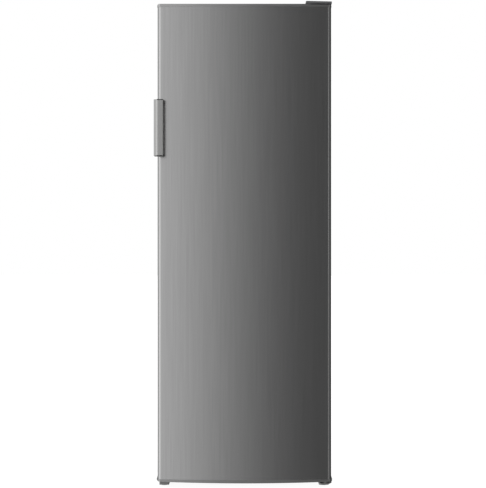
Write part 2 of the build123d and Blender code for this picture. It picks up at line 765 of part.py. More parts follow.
# Hinge bushes: plain plastic sleeves pressed into both ends of the door
with BuildPart() as hinge_bushes:
    for height, direction in ((door_bottom_z, 1), (door_top_z, -1)):
        with BuildSketch(level(height)):
            with Locations((hinge_x, hinge_y)):
                Circle(bush_radius)
                Circle(HINGE_PIN_RADIUS + RUNNING_FIT, mode=Mode.SUBTRACT)
        extrude(amount=direction * HINGE_BUSH_DEPTH)
hinge_bushes.part.label = "hinge_bushes"
export_step(hinge_bushes.part, "parts/hinge_bushes.step")

# Top hinge plate: lies on the cabinet's roof and reaches out over the door
top_plate_back_y = cabinet_front_y + TOP_PLATE_REACH_Y
top_plate_left_x = hinge_x - TOP_PLATE_REACH_X
top_screw_y = cabinet_front_y + TOP_PLATE_REACH_Y / 2
top_screw_places = [
    (hinge_x - TOP_PLATE_REACH_X + 3 * SCREW_HEAD_RADIUS, top_screw_y),
    (hinge_x - 2 * SCREW_HEAD_RADIUS, top_screw_y),
]
with BuildPart() as top_hinge_plate:
    with BuildSketch(level(cabinet_top_z)) as plate_plan:
        with BuildLine():
            Polyline(
                (top_plate_left_x, top_plate_back_y),
                (top_plate_left_x, cabinet_front_y),
                (hinge_x - TOP_PLATE_NOSE, hinge_y - TOP_PLATE_NOSE),
                (hinge_x + TOP_PLATE_NOSE, hinge_y - TOP_PLATE_NOSE),
                (hinge_x + TOP_PLATE_NOSE, top_plate_back_y),
                close=True,
            )
        make_face()
        fillet(plate_plan.vertices(), SCREW_HEAD_RADIUS)
        with Locations((hinge_x, hinge_y)):
            Circle(HINGE_PIN_RADIUS + RUNNING_FIT, mode=Mode.SUBTRACT)
        with Locations(top_screw_places):
            Circle(SCREW_RADIUS + FIT, mode=Mode.SUBTRACT)
    extrude(amount=TOP_PLATE)
top_hinge_plate.part.label = "top_hinge_plate"
export_step(top_hinge_plate.part, "parts/top_hinge_plate.step")

# Top hinge pin: headed steel pin that hangs from the plate into the door's upper bush
with BuildPart() as top_hinge_pin:
    with BuildSketch(level(door_top_z - HINGE_PIN_DEPTH)):
        with Locations((hinge_x, hinge_y)):
            Circle(HINGE_PIN_RADIUS)
    extrude(amount=HINGE_PIN_DEPTH + HINGE_TOP_GAP + TOP_PLATE)
    with BuildSketch(level(cabinet_top_z + TOP_PLATE)):
        with Locations((hinge_x, hinge_y)):
            Circle(PIN_HEAD_RADIUS)
    extrude(amount=PIN_HEAD)
top_hinge_pin.part.label = "top_hinge_pin"
export_step(top_hinge_pin.part, "parts/top_hinge_pin.step")

# Top hinge screws: two, through the plate into the roof
with BuildPart() as top_hinge_screws:
    with BuildSketch(level(cabinet_top_z + TOP_PLATE)):
        with Locations(top_screw_places):
            Circle(SCREW_HEAD_RADIUS)
    extrude(amount=SCREW_HEAD)
    with BuildSketch(level(cabinet_top_z + TOP_PLATE)):
        with Locations(top_screw_places):
            Circle(SCREW_RADIUS)
    extrude(amount=-SCREW_LENGTH)
top_hinge_screws.part.label = "top_hinge_screws"
export_step(top_hinge_screws.part, "parts/top_hinge_screws.step")

# Top hinge cover: thin moulding over the plate, its roof falling a little to the right
cover_right_x = door_half + COVER_SIDE_PROUD
cover_left_x = cover_right_x - COVER_WIDTH
cover_front_y = edge_y + COVER_FRONT_SETBACK
cover_back_y = cabinet_front_y + COVER_REAR_REACH


def cover_profile(inset):
    """Front view of the hinge cover at the given inset from its outer faces."""
    top_z = cabinet_top_z + COVER_HEIGHT - inset
    with BuildSketch(across(cover_back_y - inset)) as profile:
        with BuildLine():
            Polyline(
                (cover_left_x + inset, cabinet_top_z + FIT),
                (cover_left_x + inset, top_z),
                (cover_right_x - inset, top_z - COVER_FALL),
                (cover_right_x - inset, cabinet_top_z + FIT),
                close=True,
            )
        make_face()
        fillet(profile.vertices().sort_by(Axis.Y)[-2:], COVER_WALL - inset / 2)
    return profile.sketch


with BuildPart() as hinge_cover:
    extrude(cover_profile(0), amount=cover_back_y - cover_front_y)
    fillet(hinge_cover.edges().filter_by(Axis.Z).group_by(Axis.Y)[0], COVER_WALL)
    extrude(
        cover_profile(COVER_WALL),
        amount=cover_back_y - cover_front_y - 2 * COVER_WALL,
        mode=Mode.SUBTRACT,
    )
hinge_cover.part.label = "hinge_cover"
export_step(hinge_cover.part, "parts/hinge_cover.step")

# Lower corner plates: each carries a foot, and the right one also carries the door
block_left_x = right_foot_x - FOOT_BLOCK_WIDTH / 2
block_front_y = foot_y - FOOT_BLOCK_REACH
plate_front_y = hinge_y - BOTTOM_PLATE_NOSE
plate_back_y = cabinet_front_y + BOTTOM_PLATE_REACH_Y
plate_right_x = door_half + EAR_REACH
with BuildPart() as corner_plates:
    with BuildSketch(level(plate_bottom_z)) as corner_plan:
        with BuildLine():
            Polyline(
                (block_left_x, plate_back_y),
                (block_left_x, plate_front_y),
                (plate_right_x - BOTTOM_PLATE_CUT_X, plate_front_y),
                (plate_right_x, plate_front_y + BOTTOM_PLATE_CUT_Y),
                (plate_right_x, plate_back_y),
                close=True,
            )
        make_face()
        with Locations((left_foot_x, (block_front_y + plate_back_y) / 2)):
            Rectangle(FOOT_BLOCK_WIDTH, plate_back_y - block_front_y)
        fillet(corner_plan.vertices(), FOOT_BLOCK_RADIUS)
        with Locations(*foot_places):
            Circle(FOOT_STEM_RADIUS + FIT, mode=Mode.SUBTRACT)
        with Locations((hinge_x, hinge_y)):
            Circle(HINGE_PIN_RADIUS + RUNNING_FIT, mode=Mode.SUBTRACT)
    extrude(amount=BOTTOM_PLATE)
corner_plates.part.label = "corner_plates"
export_step(corner_plates.part, "parts/corner_plates.step")

# Bottom hinge pin: shouldered pin that carries the door's weight on its collar
with BuildPart() as bottom_hinge_pin:
    with BuildSketch(level(plate_bottom_z)):
        with Locations((hinge_x, hinge_y)):
            Circle(HINGE_PIN_RADIUS)
    extrude(amount=door_bottom_z + HINGE_PIN_DEPTH - plate_bottom_z)
    with BuildSketch(level(plate_top_z)):
        with Locations((hinge_x, hinge_y)):
            Circle(PIN_HEAD_RADIUS)
    extrude(amount=HINGE_BOTTOM_GAP - FIT)
bottom_hinge_pin.part.label = "bottom_hinge_pin"
export_step(bottom_hinge_pin.part, "parts/bottom_hinge_pin.step")

# Foot blocks: square shrouds under the corner plates, round the foot stems
with BuildPart() as foot_blocks:
    with BuildSketch(level(FOOT_PAD + SLIDE_GAP)) as block_plan:
        with Locations(*foot_places):
            with Locations((0, (FOOT_BLOCK_REAR - FOOT_BLOCK_REACH) / 2)):
                Rectangle(FOOT_BLOCK_WIDTH, FOOT_BLOCK_REACH + FOOT_BLOCK_REAR)
        fillet(block_plan.vertices(), FOOT_BLOCK_RADIUS)
        with Locations(*foot_places):
            Circle(FOOT_STEM_RADIUS + FIT, mode=Mode.SUBTRACT)
    extrude(amount=plate_bottom_z - FOOT_PAD - SLIDE_GAP)
foot_blocks.part.label = "foot_blocks"
export_step(foot_blocks.part, "parts/foot_blocks.step")

# Levelling feet: round pad and threaded stem, each turning in its own nut
for place, name in zip(foot_places, ("left_foot", "right_foot")):
    with BuildPart() as foot:
        with BuildSketch(level(0)):
            with Locations(place):
                Circle(FOOT_PAD_RADIUS)
        extrude(amount=FOOT_PAD)
        chamfer(foot.edges().filter_by(GeomType.CIRCLE), FOOT_PAD / 6)
        with BuildSketch(level(FOOT_PAD)):
            with Locations(place):
                Circle(FOOT_STEM_RADIUS)
        extrude(amount=FOOT_STEM_LENGTH)
    foot.part.label = name
    export_step(foot.part, f"parts/{name}.step")

# Front rail: folded channel under the cabinet, with a long nut for each foot
nut_radius = FOOT_STEM_RADIUS + RUNNING_FIT + FOOT_NUT_WALL
nut_top_z = cabinet_bottom_z + FOOT_NUT_HEIGHT
with BuildPart() as front_rail:
    with Locations((0, cabinet_front_y + SHEET, plate_top_z)):
        Box(
            2 * cabinet_half,
            RAIL_DEPTH,
            RAIL_HEIGHT,
            align=(Align.CENTER, Align.MIN, Align.MIN),
        )
    with Locations((0, cabinet_front_y + SHEET + RAIL_WALL, plate_top_z)):
        Box(
            2 * (cabinet_half - RAIL_WALL),
            RAIL_DEPTH - 2 * RAIL_WALL,
            RAIL_HEIGHT - RAIL_WALL,
            align=(Align.CENTER, Align.MIN, Align.MIN),
            mode=Mode.SUBTRACT,
        )
    with BuildSketch(level(plate_top_z)):
        with Locations(*foot_places):
            Circle(nut_radius)
    extrude(amount=nut_top_z - plate_top_z)
    with Locations(*[(x, y, nut_top_z) for x, y in foot_places]):
        Cylinder(FOOT_STEM_RADIUS + RUNNING_FIT, 4 * FOOT_NUT_HEIGHT, mode=Mode.SUBTRACT)
front_rail.part.label = "front_rail"
export_step(front_rail.part, "parts/front_rail.step")

# Cabinet wrap: one folded sheet for the two sides and the roof, with narrow front returns
with BuildPart() as cabinet_wrap:
    with BuildSketch(across(cabinet_back_y)) as wrap_view:
        with Locations((0, (cabinet_bottom_z + cabinet_top_z) / 2)):
            Rectangle(2 * cabinet_half, cabinet_top_z - cabinet_bottom_z)
        fillet(wrap_view.vertices().group_by(Axis.Y)[-1], WRAP_RADIUS)
    extrude(amount=CABINET_DEPTH)
    with BuildSketch(across(cabinet_back_y)) as inside_view:
        with Locations((0, (cabinet_bottom_z + cabinet_top_z) / 2 - SHEET)):
            Rectangle(2 * (cabinet_half - SHEET), cabinet_top_z - cabinet_bottom_z)
        fillet(inside_view.vertices().group_by(Axis.Y)[-1], WRAP_RADIUS - SHEET)
    extrude(amount=CABINET_DEPTH - SHEET, mode=Mode.SUBTRACT)
    with BuildSketch(across(cabinet_back_y)):
        with Locations((0, (cabinet_bottom_z + cabinet_top_z) / 2 - FRONT_RETURN)):
            Rectangle(2 * (cabinet_half - FRONT_RETURN), cabinet_top_z - cabinet_bottom_z)
    extrude(amount=CABINET_DEPTH, mode=Mode.SUBTRACT)
    for x, y in top_screw_places:
        with Locations((x, y, cabinet_top_z)):
            Cylinder(SCREW_RADIUS + FIT, 4 * SHEET, mode=Mode.SUBTRACT)
cabinet_wrap.part.label = "cabinet_wrap"
export_step(cabinet_wrap.part, "parts/cabinet_wrap.step")

# Base pan: folded floor sheet that steps up over the compressor bay
pan_half = cabinet_half - SHEET
flange_half = cabinet_half - FRONT_RETURN - FIT
flange_split_z = cavity_floor_z - LINER_FLANGE_DROP
drain_y = cavity_back_y - SHELF_REAR_GAP / 2
with BuildPart() as base_pan:
    with BuildSketch(along(0)):
        with BuildLine():
            Polyline(
                (cabinet_front_y + SHEET, cabinet_bottom_z),
                (bay_front_y, cabinet_bottom_z),
                (bay_front_y, bay_top_z),
                (cabinet_back_y, bay_top_z),
                (cabinet_back_y, bay_top_z + SHEET),
                (bay_front_y - SHEET, bay_top_z + SHEET),
                (bay_front_y - SHEET, cabinet_bottom_z + SHEET),
                (cabinet_front_y + SHEET, cabinet_bottom_z + SHEET),
                close=True,
            )
        make_face()
    extrude(amount=pan_half, both=True)
    with BuildSketch(across(cabinet_front_y + SHEET)):
        with Locations((0, (cabinet_bottom_z + flange_split_z) / 2)):
            Rectangle(2 * flange_half, flange_split_z - cabinet_bottom_z)
    extrude(amount=SHEET)
    with Locations(*[(x, y, cabinet_bottom_z) for x, y in foot_places]):
        Cylinder(nut_radius + FIT, 4 * SHEET, mode=Mode.SUBTRACT)
    with Locations((0, drain_y, bay_top_z)):
        Cylinder(DRAIN_RADIUS + FIT, 4 * SHEET, mode=Mode.SUBTRACT)
base_pan.part.label = "base_pan"
export_step(base_pan.part, "parts/base_pan.step")

# Back panel: flat sheet above the compressor bay
with BuildPart() as back_panel:
    with BuildSketch(across(cabinet_back_y)) as panel_view:
        with Locations((0, (bay_top_z + cabinet_top_z) / 2)):
            Rectangle(2 * pan_half, cabinet_top_z - bay_top_z - 2 * SHEET)
        fillet(panel_view.vertices().group_by(Axis.Y)[-1], WRAP_RADIUS)
    extrude(amount=SHEET)
back_panel.part.label = "back_panel"
export_step(back_panel.part, "parts/back_panel.step")


def tub_side(grow):
    """Side view of the cold space, stepped over the compressor bay, grown by a wall."""
    with BuildSketch(along(0)) as side_view:
        with BuildLine():
            Polyline(
                (cabinet_front_y, cavity_floor_z - grow),
                (hump_front_y + grow, cavity_floor_z - grow),
                (hump_front_y + grow, hump_top_z - grow),
                (cavity_back_y + grow, hump_top_z - grow),
                (cavity_back_y + grow, cavity_top_z + grow),
                (cabinet_front_y, cavity_top_z + grow),
                close=True,
            )
        make_face()
    return side_view.sketch


# Levels of the ribs: the shelves take every second one
rib_count = 2 * SHELF_COUNT + 1
rib_pitch = (cavity_top_z - hump_top_z) / (rib_count + 1)
rib_levels = [hump_top_z + rib_pitch * (i + 1) for i in range(rib_count)]
rib_front_y = shelf_front_y + SHELF_TRIM_DEPTH + DRAWER_GAP
rib_back_y = cavity_back_y - SHELF_REAR_GAP - SHELF_TRIM_DEPTH - DRAWER_GAP
rail_levels = (
    cavity_floor_z + RIB_HEIGHT,
    (cavity_floor_z + hump_top_z) / 2,
    hump_top_z,
)
cold_tube_y = cavity_back_y + LINER + PLATE_WALL + COLD_TUBE_RADIUS + WELD_GAP
plate_top_drop_z = cavity_top_z - PLATE_TOP_DROP

# Cabinet liner: formed tub with its front flange, shelf ribs and crisper rails
with BuildPart() as cabinet_liner:
    extrude(tub_side(LINER), amount=cavity_half + LINER, both=True)
    with BuildSketch(across(cabinet_front_y + LINER)):
        with Locations((0, (flange_split_z + cabinet_top_z - FRONT_RETURN) / 2)):
            Rectangle(
                2 * flange_half,
                cabinet_top_z - FRONT_RETURN - flange_split_z - 2 * FIT,
            )
    extrude(amount=LINER)
    extrude(tub_side(0), amount=cavity_half, both=True, mode=Mode.SUBTRACT)
    for side in (-1, 1):
        for height in rib_levels:
            with Locations((side * (cavity_half - RIB_WIDTH / 2), rib_front_y, height)):
                Box(
                    RIB_WIDTH,
                    rib_back_y - rib_front_y,
                    RIB_HEIGHT,
                    align=(Align.CENTER, Align.MIN, Align.MAX),
                )
        for height in rail_levels:
            with Locations(
                (side * (cavity_half - CRISPER_RAIL_WIDTH / 2), rib_front_y, height)
            ):
                Box(
                    CRISPER_RAIL_WIDTH,
                    hump_front_y - rib_front_y,
                    RIB_HEIGHT,
                    align=(Align.CENTER, Align.MIN, Align.MAX),
                )
    with Locations((0, drain_y, hump_top_z)):
        Cylinder(DRAIN_RADIUS + FIT, 4 * LINER, mode=Mode.SUBTRACT)
cabinet_liner.part.label = "cabinet_liner"
export_step(cabinet_liner.part, "parts/cabinet_liner.step")

# Cabinet foam: fills the walls between the sheets and the liner
foam_front_y = cabinet_front_y + SHEET
with BuildPart() as cabinet_foam:
    with BuildSketch(along(0)):
        with BuildLine():
            Polyline(
                (foam_front_y, cabinet_bottom_z + SHEET),
                (bay_front_y - SHEET, cabinet_bottom_z + SHEET),
                (bay_front_y - SHEET, bay_top_z + SHEET),
                (cabinet_back_y - SHEET, bay_top_z + SHEET),
                (cabinet_back_y - SHEET, cabinet_top_z - SHEET),
                (foam_front_y, cabinet_top_z - SHEET),
                close=True,
            )
        make_face()
    extrude(amount=pan_half, both=True)
    fillet(cabinet_foam.edges().filter_by(Axis.Y).group_by(Axis.Z)[-1], WRAP_RADIUS)
    extrude(tub_side(LINER), amount=cavity_half + LINER, both=True, mode=Mode.SUBTRACT)
    with BuildSketch(across(cabinet_front_y + LINER)):
        with Locations((0, (flange_split_z + cabinet_top_z - FRONT_RETURN) / 2)):
            Rectangle(2 * flange_half, cabinet_top_z - FRONT_RETURN - flange_split_z)
    extrude(amount=LINER, mode=Mode.SUBTRACT)
    with Locations((0, cavity_back_y + LINER, plate_top_drop_z - PLATE_HEIGHT / 2)):
        Box(
            PLATE_WIDTH + 2 * FIT,
            PLATE_WALL + 2 * COLD_TUBE_RADIUS + 2 * FIT,
            PLATE_HEIGHT + 2 * FIT,
            align=(Align.CENTER, Align.MIN, Align.CENTER),
            mode=Mode.SUBTRACT,
        )
    with Locations(*[(x, y, cabinet_bottom_z) for x, y in foot_places]):
        Cylinder(nut_radius + FIT, 2 * (FOOT_NUT_HEIGHT + FIT), mode=Mode.SUBTRACT)
    with Locations((0, drain_y, (bay_top_z + hump_top_z) / 2)):
        Cylinder(DRAIN_RADIUS + FIT, 2 * BAY_WALL, mode=Mode.SUBTRACT)
    for x, y in top_screw_places:
        with Locations((x, y, cabinet_top_z)):
            Cylinder(SCREW_RADIUS + FIT, 2 * SCREW_LENGTH, mode=Mode.SUBTRACT)
cabinet_foam.part.label = "cabinet_foam"
export_step(cabinet_foam.part, "parts/cabinet_foam.step")

# Glass shelves: the lower one also covers the crispers
shelf_half = cavity_half - SHELF_SIDE_GAP
glass_front_y = shelf_front_y + SHELF_TRIM_WALL
glass_back_y = cavity_back_y - SHELF_REAR_GAP - SHELF_TRIM_WALL
glass_middle_y = (glass_front_y + glass_back_y) / 2
glass_size = (2 * shelf_half, glass_back_y - glass_front_y, SHELF_GLASS)
rib_shelf_levels = [rib_levels[2 * i + 1] for i in range(SHELF_COUNT)]
with BuildPart() as shelf_glass:
    for height in rib_shelf_levels:
        with Locations((0, glass_middle_y, height + SHELF_GLASS / 2)):
            Box(*glass_size)
shelf_glass.part.label = "shelf_glass"
export_step(shelf_glass.part, "parts/shelf_glass.step")

with BuildPart() as crisper_cover:
    with Locations((0, glass_middle_y, hump_top_z + SHELF_GLASS / 2)):
        Box(*glass_size)
crisper_cover.part.label = "crisper_cover"
export_step(crisper_cover.part, "parts/crisper_cover.step")

# Shelf trims: a moulding on the front edge and a raised one on the back edge of each glass
trim_back_y = glass_back_y + SHELF_TRIM_WALL
with BuildPart() as shelf_trims:
    for height in (hump_top_z, *rib_shelf_levels):
        front_top_z = height + SHELF_GLASS + SHELF_TRIM_WALL
        with BuildSketch(along(-shelf_half)) as trim_section:
            with Locations((shelf_front_y + SHELF_TRIM_DEPTH / 2, front_top_z - SHELF_TRIM_HEIGHT / 2)):
                Rectangle(SHELF_TRIM_DEPTH, SHELF_TRIM_HEIGHT)
            fillet(trim_section.vertices().group_by(Axis.X)[0], SHELF_TRIM_WALL)
            with Locations((trim_back_y - SHELF_TRIM_DEPTH / 2, height + SHELF_GLASS)):
                Rectangle(SHELF_TRIM_DEPTH, 2 * SHELF_GLASS)
        extrude(amount=2 * shelf_half)
    for height in (hump_top_z, *rib_shelf_levels):
        with Locations((0, glass_middle_y, height + SHELF_GLASS / 2)):
            Box(*glass_size, mode=Mode.SUBTRACT)
shelf_trims.part.label = "shelf_trims"
export_step(shelf_trims.part, "parts/shelf_trims.step")

# Crispers: two drawers side by side that slide out on the floor of the cold space
crisper_side_x = cavity_half - CRISPER_RAIL_WIDTH - DRAWER_GAP
crisper_floor_z = cavity_floor_z + SLIDE_GAP
crisper_top_z = hump_top_z + SHELF_GLASS + SHELF_TRIM_WALL - SHELF_TRIM_HEIGHT - DRAWER_GAP
crisper_front_y = shelf_front_y + CRISPER_LIP
crisper_back_y = hump_front_y - DRAWER_GAP
crisper_width = crisper_side_x - DRAWER_GAP
crisper_depth = crisper_back_y - crisper_front_y
crisper_middle_y = (crisper_front_y + crisper_back_y) / 2
for side, name in ((-1, "left_crisper"), (1, "right_crisper")):
    middle_x = side * (DRAWER_GAP + crisper_width / 2)
    with BuildPart() as crisper:
        with BuildSketch(level(crisper_floor_z)):
            with Locations((middle_x, crisper_middle_y)):
                RectangleRounded(crisper_width, crisper_depth, CRISPER_RADIUS)
        extrude(amount=crisper_top_z - crisper_floor_z)
        with BuildSketch(level(crisper_floor_z + CRISPER_WALL)):
            with Locations((middle_x, crisper_middle_y)):
                RectangleRounded(
                    crisper_width - 2 * CRISPER_WALL,
                    crisper_depth - 2 * CRISPER_WALL,
                    CRISPER_RADIUS - CRISPER_WALL,
                )
        extrude(amount=crisper_top_z - crisper_floor_z, mode=Mode.SUBTRACT)
        with BuildSketch(along(middle_x)):
            with BuildLine():
                Polyline(
                    (crisper_front_y + CRISPER_WALL, crisper_top_z),
                    (crisper_front_y - CRISPER_LIP, crisper_top_z),
                    (crisper_front_y - CRISPER_LIP, crisper_top_z - CRISPER_LIP_DROP),
                    (crisper_front_y - CRISPER_LIP + CRISPER_WALL, crisper_top_z - CRISPER_LIP_DROP),
                    (crisper_front_y - CRISPER_LIP + CRISPER_WALL, crisper_top_z - CRISPER_WALL),
                    (crisper_front_y + CRISPER_WALL, crisper_top_z - CRISPER_WALL),
                    close=True,
                )
            make_face()
        extrude(amount=crisper_width / 2 - CRISPER_RADIUS, both=True)
    crisper.part.label = name
    export_step(crisper.part, f"parts/{name}.step")

# Control housing: open-topped moulding under the ceiling, with a window for the lamp
housing_front_y = shelf_front_y + HOUSING_SETBACK
housing_bottom_z = cavity_top_z - HOUSING_HEIGHT
housing_middle_y = housing_front_y + HOUSING_DEPTH / 2
knob_z = cavity_top_z - HOUSING_HEIGHT / 2
with BuildPart() as control_housing:
    with BuildSketch(level(housing_bottom_z)):
        with Locations((0, housing_middle_y)):
            RectangleRounded(HOUSING_WIDTH, HOUSING_DEPTH, HOUSING_RADIUS)
    extrude(amount=HOUSING_HEIGHT)
    with BuildSketch(level(housing_bottom_z + HOUSING_WALL)):
        with Locations((0, housing_middle_y)):
            RectangleRounded(
                HOUSING_WIDTH - 2 * HOUSING_WALL,
                HOUSING_DEPTH - 2 * HOUSING_WALL,
                HOUSING_RADIUS - HOUSING_WALL,
            )
    extrude(amount=HOUSING_HEIGHT, mode=Mode.SUBTRACT)
    with Locations((-LAMP_OFFSET, housing_middle_y, housing_bottom_z)):
        Box(LAMP_WINDOW_WIDTH, LAMP_WINDOW_DEPTH, 4 * HOUSING_WALL, mode=Mode.SUBTRACT)
    with Locations(Location((KNOB_OFFSET, housing_front_y, knob_z), (90, 0, 0))):
        Cylinder(THERMOSTAT_SHAFT_RADIUS + FIT, 4 * HOUSING_WALL, mode=Mode.SUBTRACT)
control_housing.part.label = "control_housing"
export_step(control_housing.part, "parts/control_housing.step")

# Lamp cover: clear plate in the housing's window
with BuildPart() as lamp_cover:
    with Locations((-LAMP_OFFSET, housing_middle_y, housing_bottom_z + HOUSING_WALL)):
        Box(
            LAMP_WINDOW_WIDTH - 2 * FIT,
            LAMP_WINDOW_DEPTH - 2 * FIT,
            2 * HOUSING_WALL,
            align=(Align.CENTER, Align.CENTER, Align.MAX),
        )
    fillet(lamp_cover.edges().group_by(Axis.Z)[0], HOUSING_WALL / 2)
lamp_cover.part.label = "lamp_cover"
export_step(lamp_cover.part, "parts/lamp_cover.step")

# Lamp: small round-ended bulb in its socket, lying across the housing
lamp_z = housing_bottom_z + HOUSING_WALL + LAMP_SOCKET_RADIUS + FIT
lamp_left_x = -LAMP_OFFSET - LAMP_LENGTH / 2
with BuildPart() as lamp:
    with BuildSketch(along(lamp_left_x - LAMP_SOCKET_LENGTH)):
        with Locations((housing_middle_y, lamp_z)):
            Circle(LAMP_SOCKET_RADIUS)
    extrude(amount=LAMP_SOCKET_LENGTH)
    with BuildSketch(along(lamp_left_x)):
        with Locations((housing_middle_y, lamp_z)):
            Circle(LAMP_RADIUS)
    extrude(amount=LAMP_LENGTH)
    fillet(lamp.edges().group_by(Axis.X)[-1], LAMP_RADIUS - FIT)
lamp.part.label = "lamp"
export_step(lamp.part, "parts/lamp.step")

# Thermostat: small case behind the housing's front, with the shaft that carries the knob
with BuildPart() as thermostat:
    with Locations((KNOB_OFFSET, housing_front_y + HOUSING_WALL, knob_z)):
        Box(
            THERMOSTAT_SIZE,
            THERMOSTAT_SIZE,
            THERMOSTAT_SIZE,
            align=(Align.CENTER, Align.MIN, Align.CENTER),
        )
    with BuildSketch(across(housing_front_y + HOUSING_WALL)):
        with Locations((KNOB_OFFSET, knob_z)):
            Circle(THERMOSTAT_SHAFT_RADIUS)
    extrude(amount=HOUSING_WALL + KNOB_LENGTH / 2)
thermostat.part.label = "thermostat"
export_step(thermostat.part, "parts/thermostat.step")

# Thermostat knob: round dial with a raised bar to turn it by
with BuildPart() as thermostat_knob:
    with BuildSketch(across(housing_front_y - SLIDE_GAP)):
        with Locations((KNOB_OFFSET, knob_z)):
            Circle(KNOB_RADIUS)
    extrude(amount=KNOB_LENGTH - KNOB_GRIP_HEIGHT)
    chamfer(thermostat_knob.edges().group_by(Axis.Y)[0], HOUSING_WALL / 2)
    with BuildSketch(across(housing_front_y - SLIDE_GAP - KNOB_LENGTH + KNOB_GRIP_HEIGHT)):
        with Locations((KNOB_OFFSET, knob_z)):
            SlotOverall(2 * (KNOB_RADIUS - HOUSING_WALL), KNOB_GRIP_WIDTH, rotation=90)
    extrude(amount=KNOB_GRIP_HEIGHT)
    with BuildSketch(across(housing_front_y - SLIDE_GAP)):
        with Locations((KNOB_OFFSET, knob_z)):
            Circle(THERMOSTAT_SHAFT_RADIUS + RUNNING_FIT)
    extrude(amount=KNOB_LENGTH / 2 + RUNNING_FIT, mode=Mode.SUBTRACT)
thermostat_knob.part.label = "thermostat_knob"
export_step(thermostat_knob.part, "parts/thermostat_knob.step")

# Door switch: case under the ceiling with a bore for the plunger that the dyke presses
plunger_z = dyke_top_z - DYKE_BAND / 2
plunger_tip_y = dyke_back_y + FIT
switch_front_y = plunger_tip_y + PLUNGER_STUB
with BuildPart() as switch_housing:
    with Locations((-SWITCH_OFFSET, switch_front_y, cavity_top_z)):
        Box(
            SWITCH_WIDTH,
            SWITCH_DEPTH,
            cavity_top_z - plunger_z + SWITCH_WIDTH / 2,
            align=(Align.CENTER, Align.MIN, Align.MAX),
        )
    fillet(switch_housing.edges().filter_by(Axis.Y).group_by(Axis.Z)[0], PLUNGER_RADIUS)
    with BuildSketch(across(switch_front_y)):
        with Locations((-SWITCH_OFFSET, plunger_z)):
            Circle(PLUNGER_RADIUS + RUNNING_FIT)
    extrude(amount=-(PLUNGER_LENGTH + FIT), mode=Mode.SUBTRACT)
switch_housing.part.label = "switch_housing"
export_step(switch_housing.part, "parts/switch_housing.step")

with BuildPart() as switch_plunger:
    with BuildSketch(across(switch_front_y + PLUNGER_LENGTH)):
        with Locations((-SWITCH_OFFSET, plunger_z)):
            Circle(PLUNGER_RADIUS)
    extrude(amount=PLUNGER_LENGTH + PLUNGER_STUB)
    fillet(switch_plunger.edges().group_by(Axis.Y)[0], PLUNGER_STUB / 2)
switch_plunger.part.label = "switch_plunger"
export_step(switch_plunger.part, "parts/switch_plunger.step")

# Carrier plate: steel floor of the compressor bay, flanged up against the cabinet's sides
carrier_z = cabinet_bottom_z + CARRIER_RISE
carrier_front_y = bay_front_y
carrier_back_y = cabinet_back_y - SHEET
with BuildPart() as carrier_plate:
    with BuildSketch(across(carrier_back_y)):
        with Locations((0, carrier_z + CARRIER_FLANGE / 2)):
            Rectangle(2 * pan_half, CARRIER_FLANGE)
        with Locations((0, carrier_z + CARRIER_PLATE + CARRIER_FLANGE / 2)):
            Rectangle(2 * (pan_half - CARRIER_PLATE), CARRIER_FLANGE, mode=Mode.SUBTRACT)
    extrude(amount=carrier_back_y - carrier_front_y)
carrier_plate.part.label = "carrier_plate"
export_step(carrier_plate.part, "parts/carrier_plate.step")

# Rear rollers: each turns on an axle between two cheeks under the carrier plate
roller_x = cabinet_half - ROLLER_INSET
roller_y = cabinet_back_y - ROLLER_SETBACK
cheek_x = ROLLER_WIDTH / 2 + DRAWER_GAP
with BuildPart() as roller_brackets:
    for side in (-1, 1):
        for offset_x in (-cheek_x - CHEEK_WALL, cheek_x):
            with BuildSketch(along(side * roller_x + offset_x)) as cheek:
                with Locations((roller_y, (carrier_z + ROLLER_RADIUS) / 2)):
                    Rectangle(CHEEK_WIDTH, carrier_z - ROLLER_RADIUS)
                with Locations((roller_y, ROLLER_RADIUS)):
                    Circle(CHEEK_WIDTH / 2)
            extrude(amount=CHEEK_WALL)
        with BuildSketch(along(side * roller_x - cheek_x - CHEEK_WALL)):
            with Locations((roller_y, ROLLER_RADIUS)):
                Circle(AXLE_RADIUS)
        extrude(amount=2 * (cheek_x + CHEEK_WALL))
roller_brackets.part.label = "roller_brackets"
export_step(roller_brackets.part, "parts/roller_brackets.step")

for side, name in ((-1, "left_roller"), (1, "right_roller")):
    with BuildPart() as roller:
        with BuildSketch(along(side * roller_x - ROLLER_WIDTH / 2)):
            with Locations((roller_y, ROLLER_RADIUS)):
                Circle(ROLLER_RADIUS)
                Circle(AXLE_RADIUS + RUNNING_FIT, mode=Mode.SUBTRACT)
        extrude(amount=ROLLER_WIDTH)
        fillet(roller.edges().filter_by(GeomType.CIRCLE).group_by(SortBy.RADIUS)[-1], CHEEK_WALL)
    roller.part.label = name
    export_step(roller.part, f"parts/{name}.step")

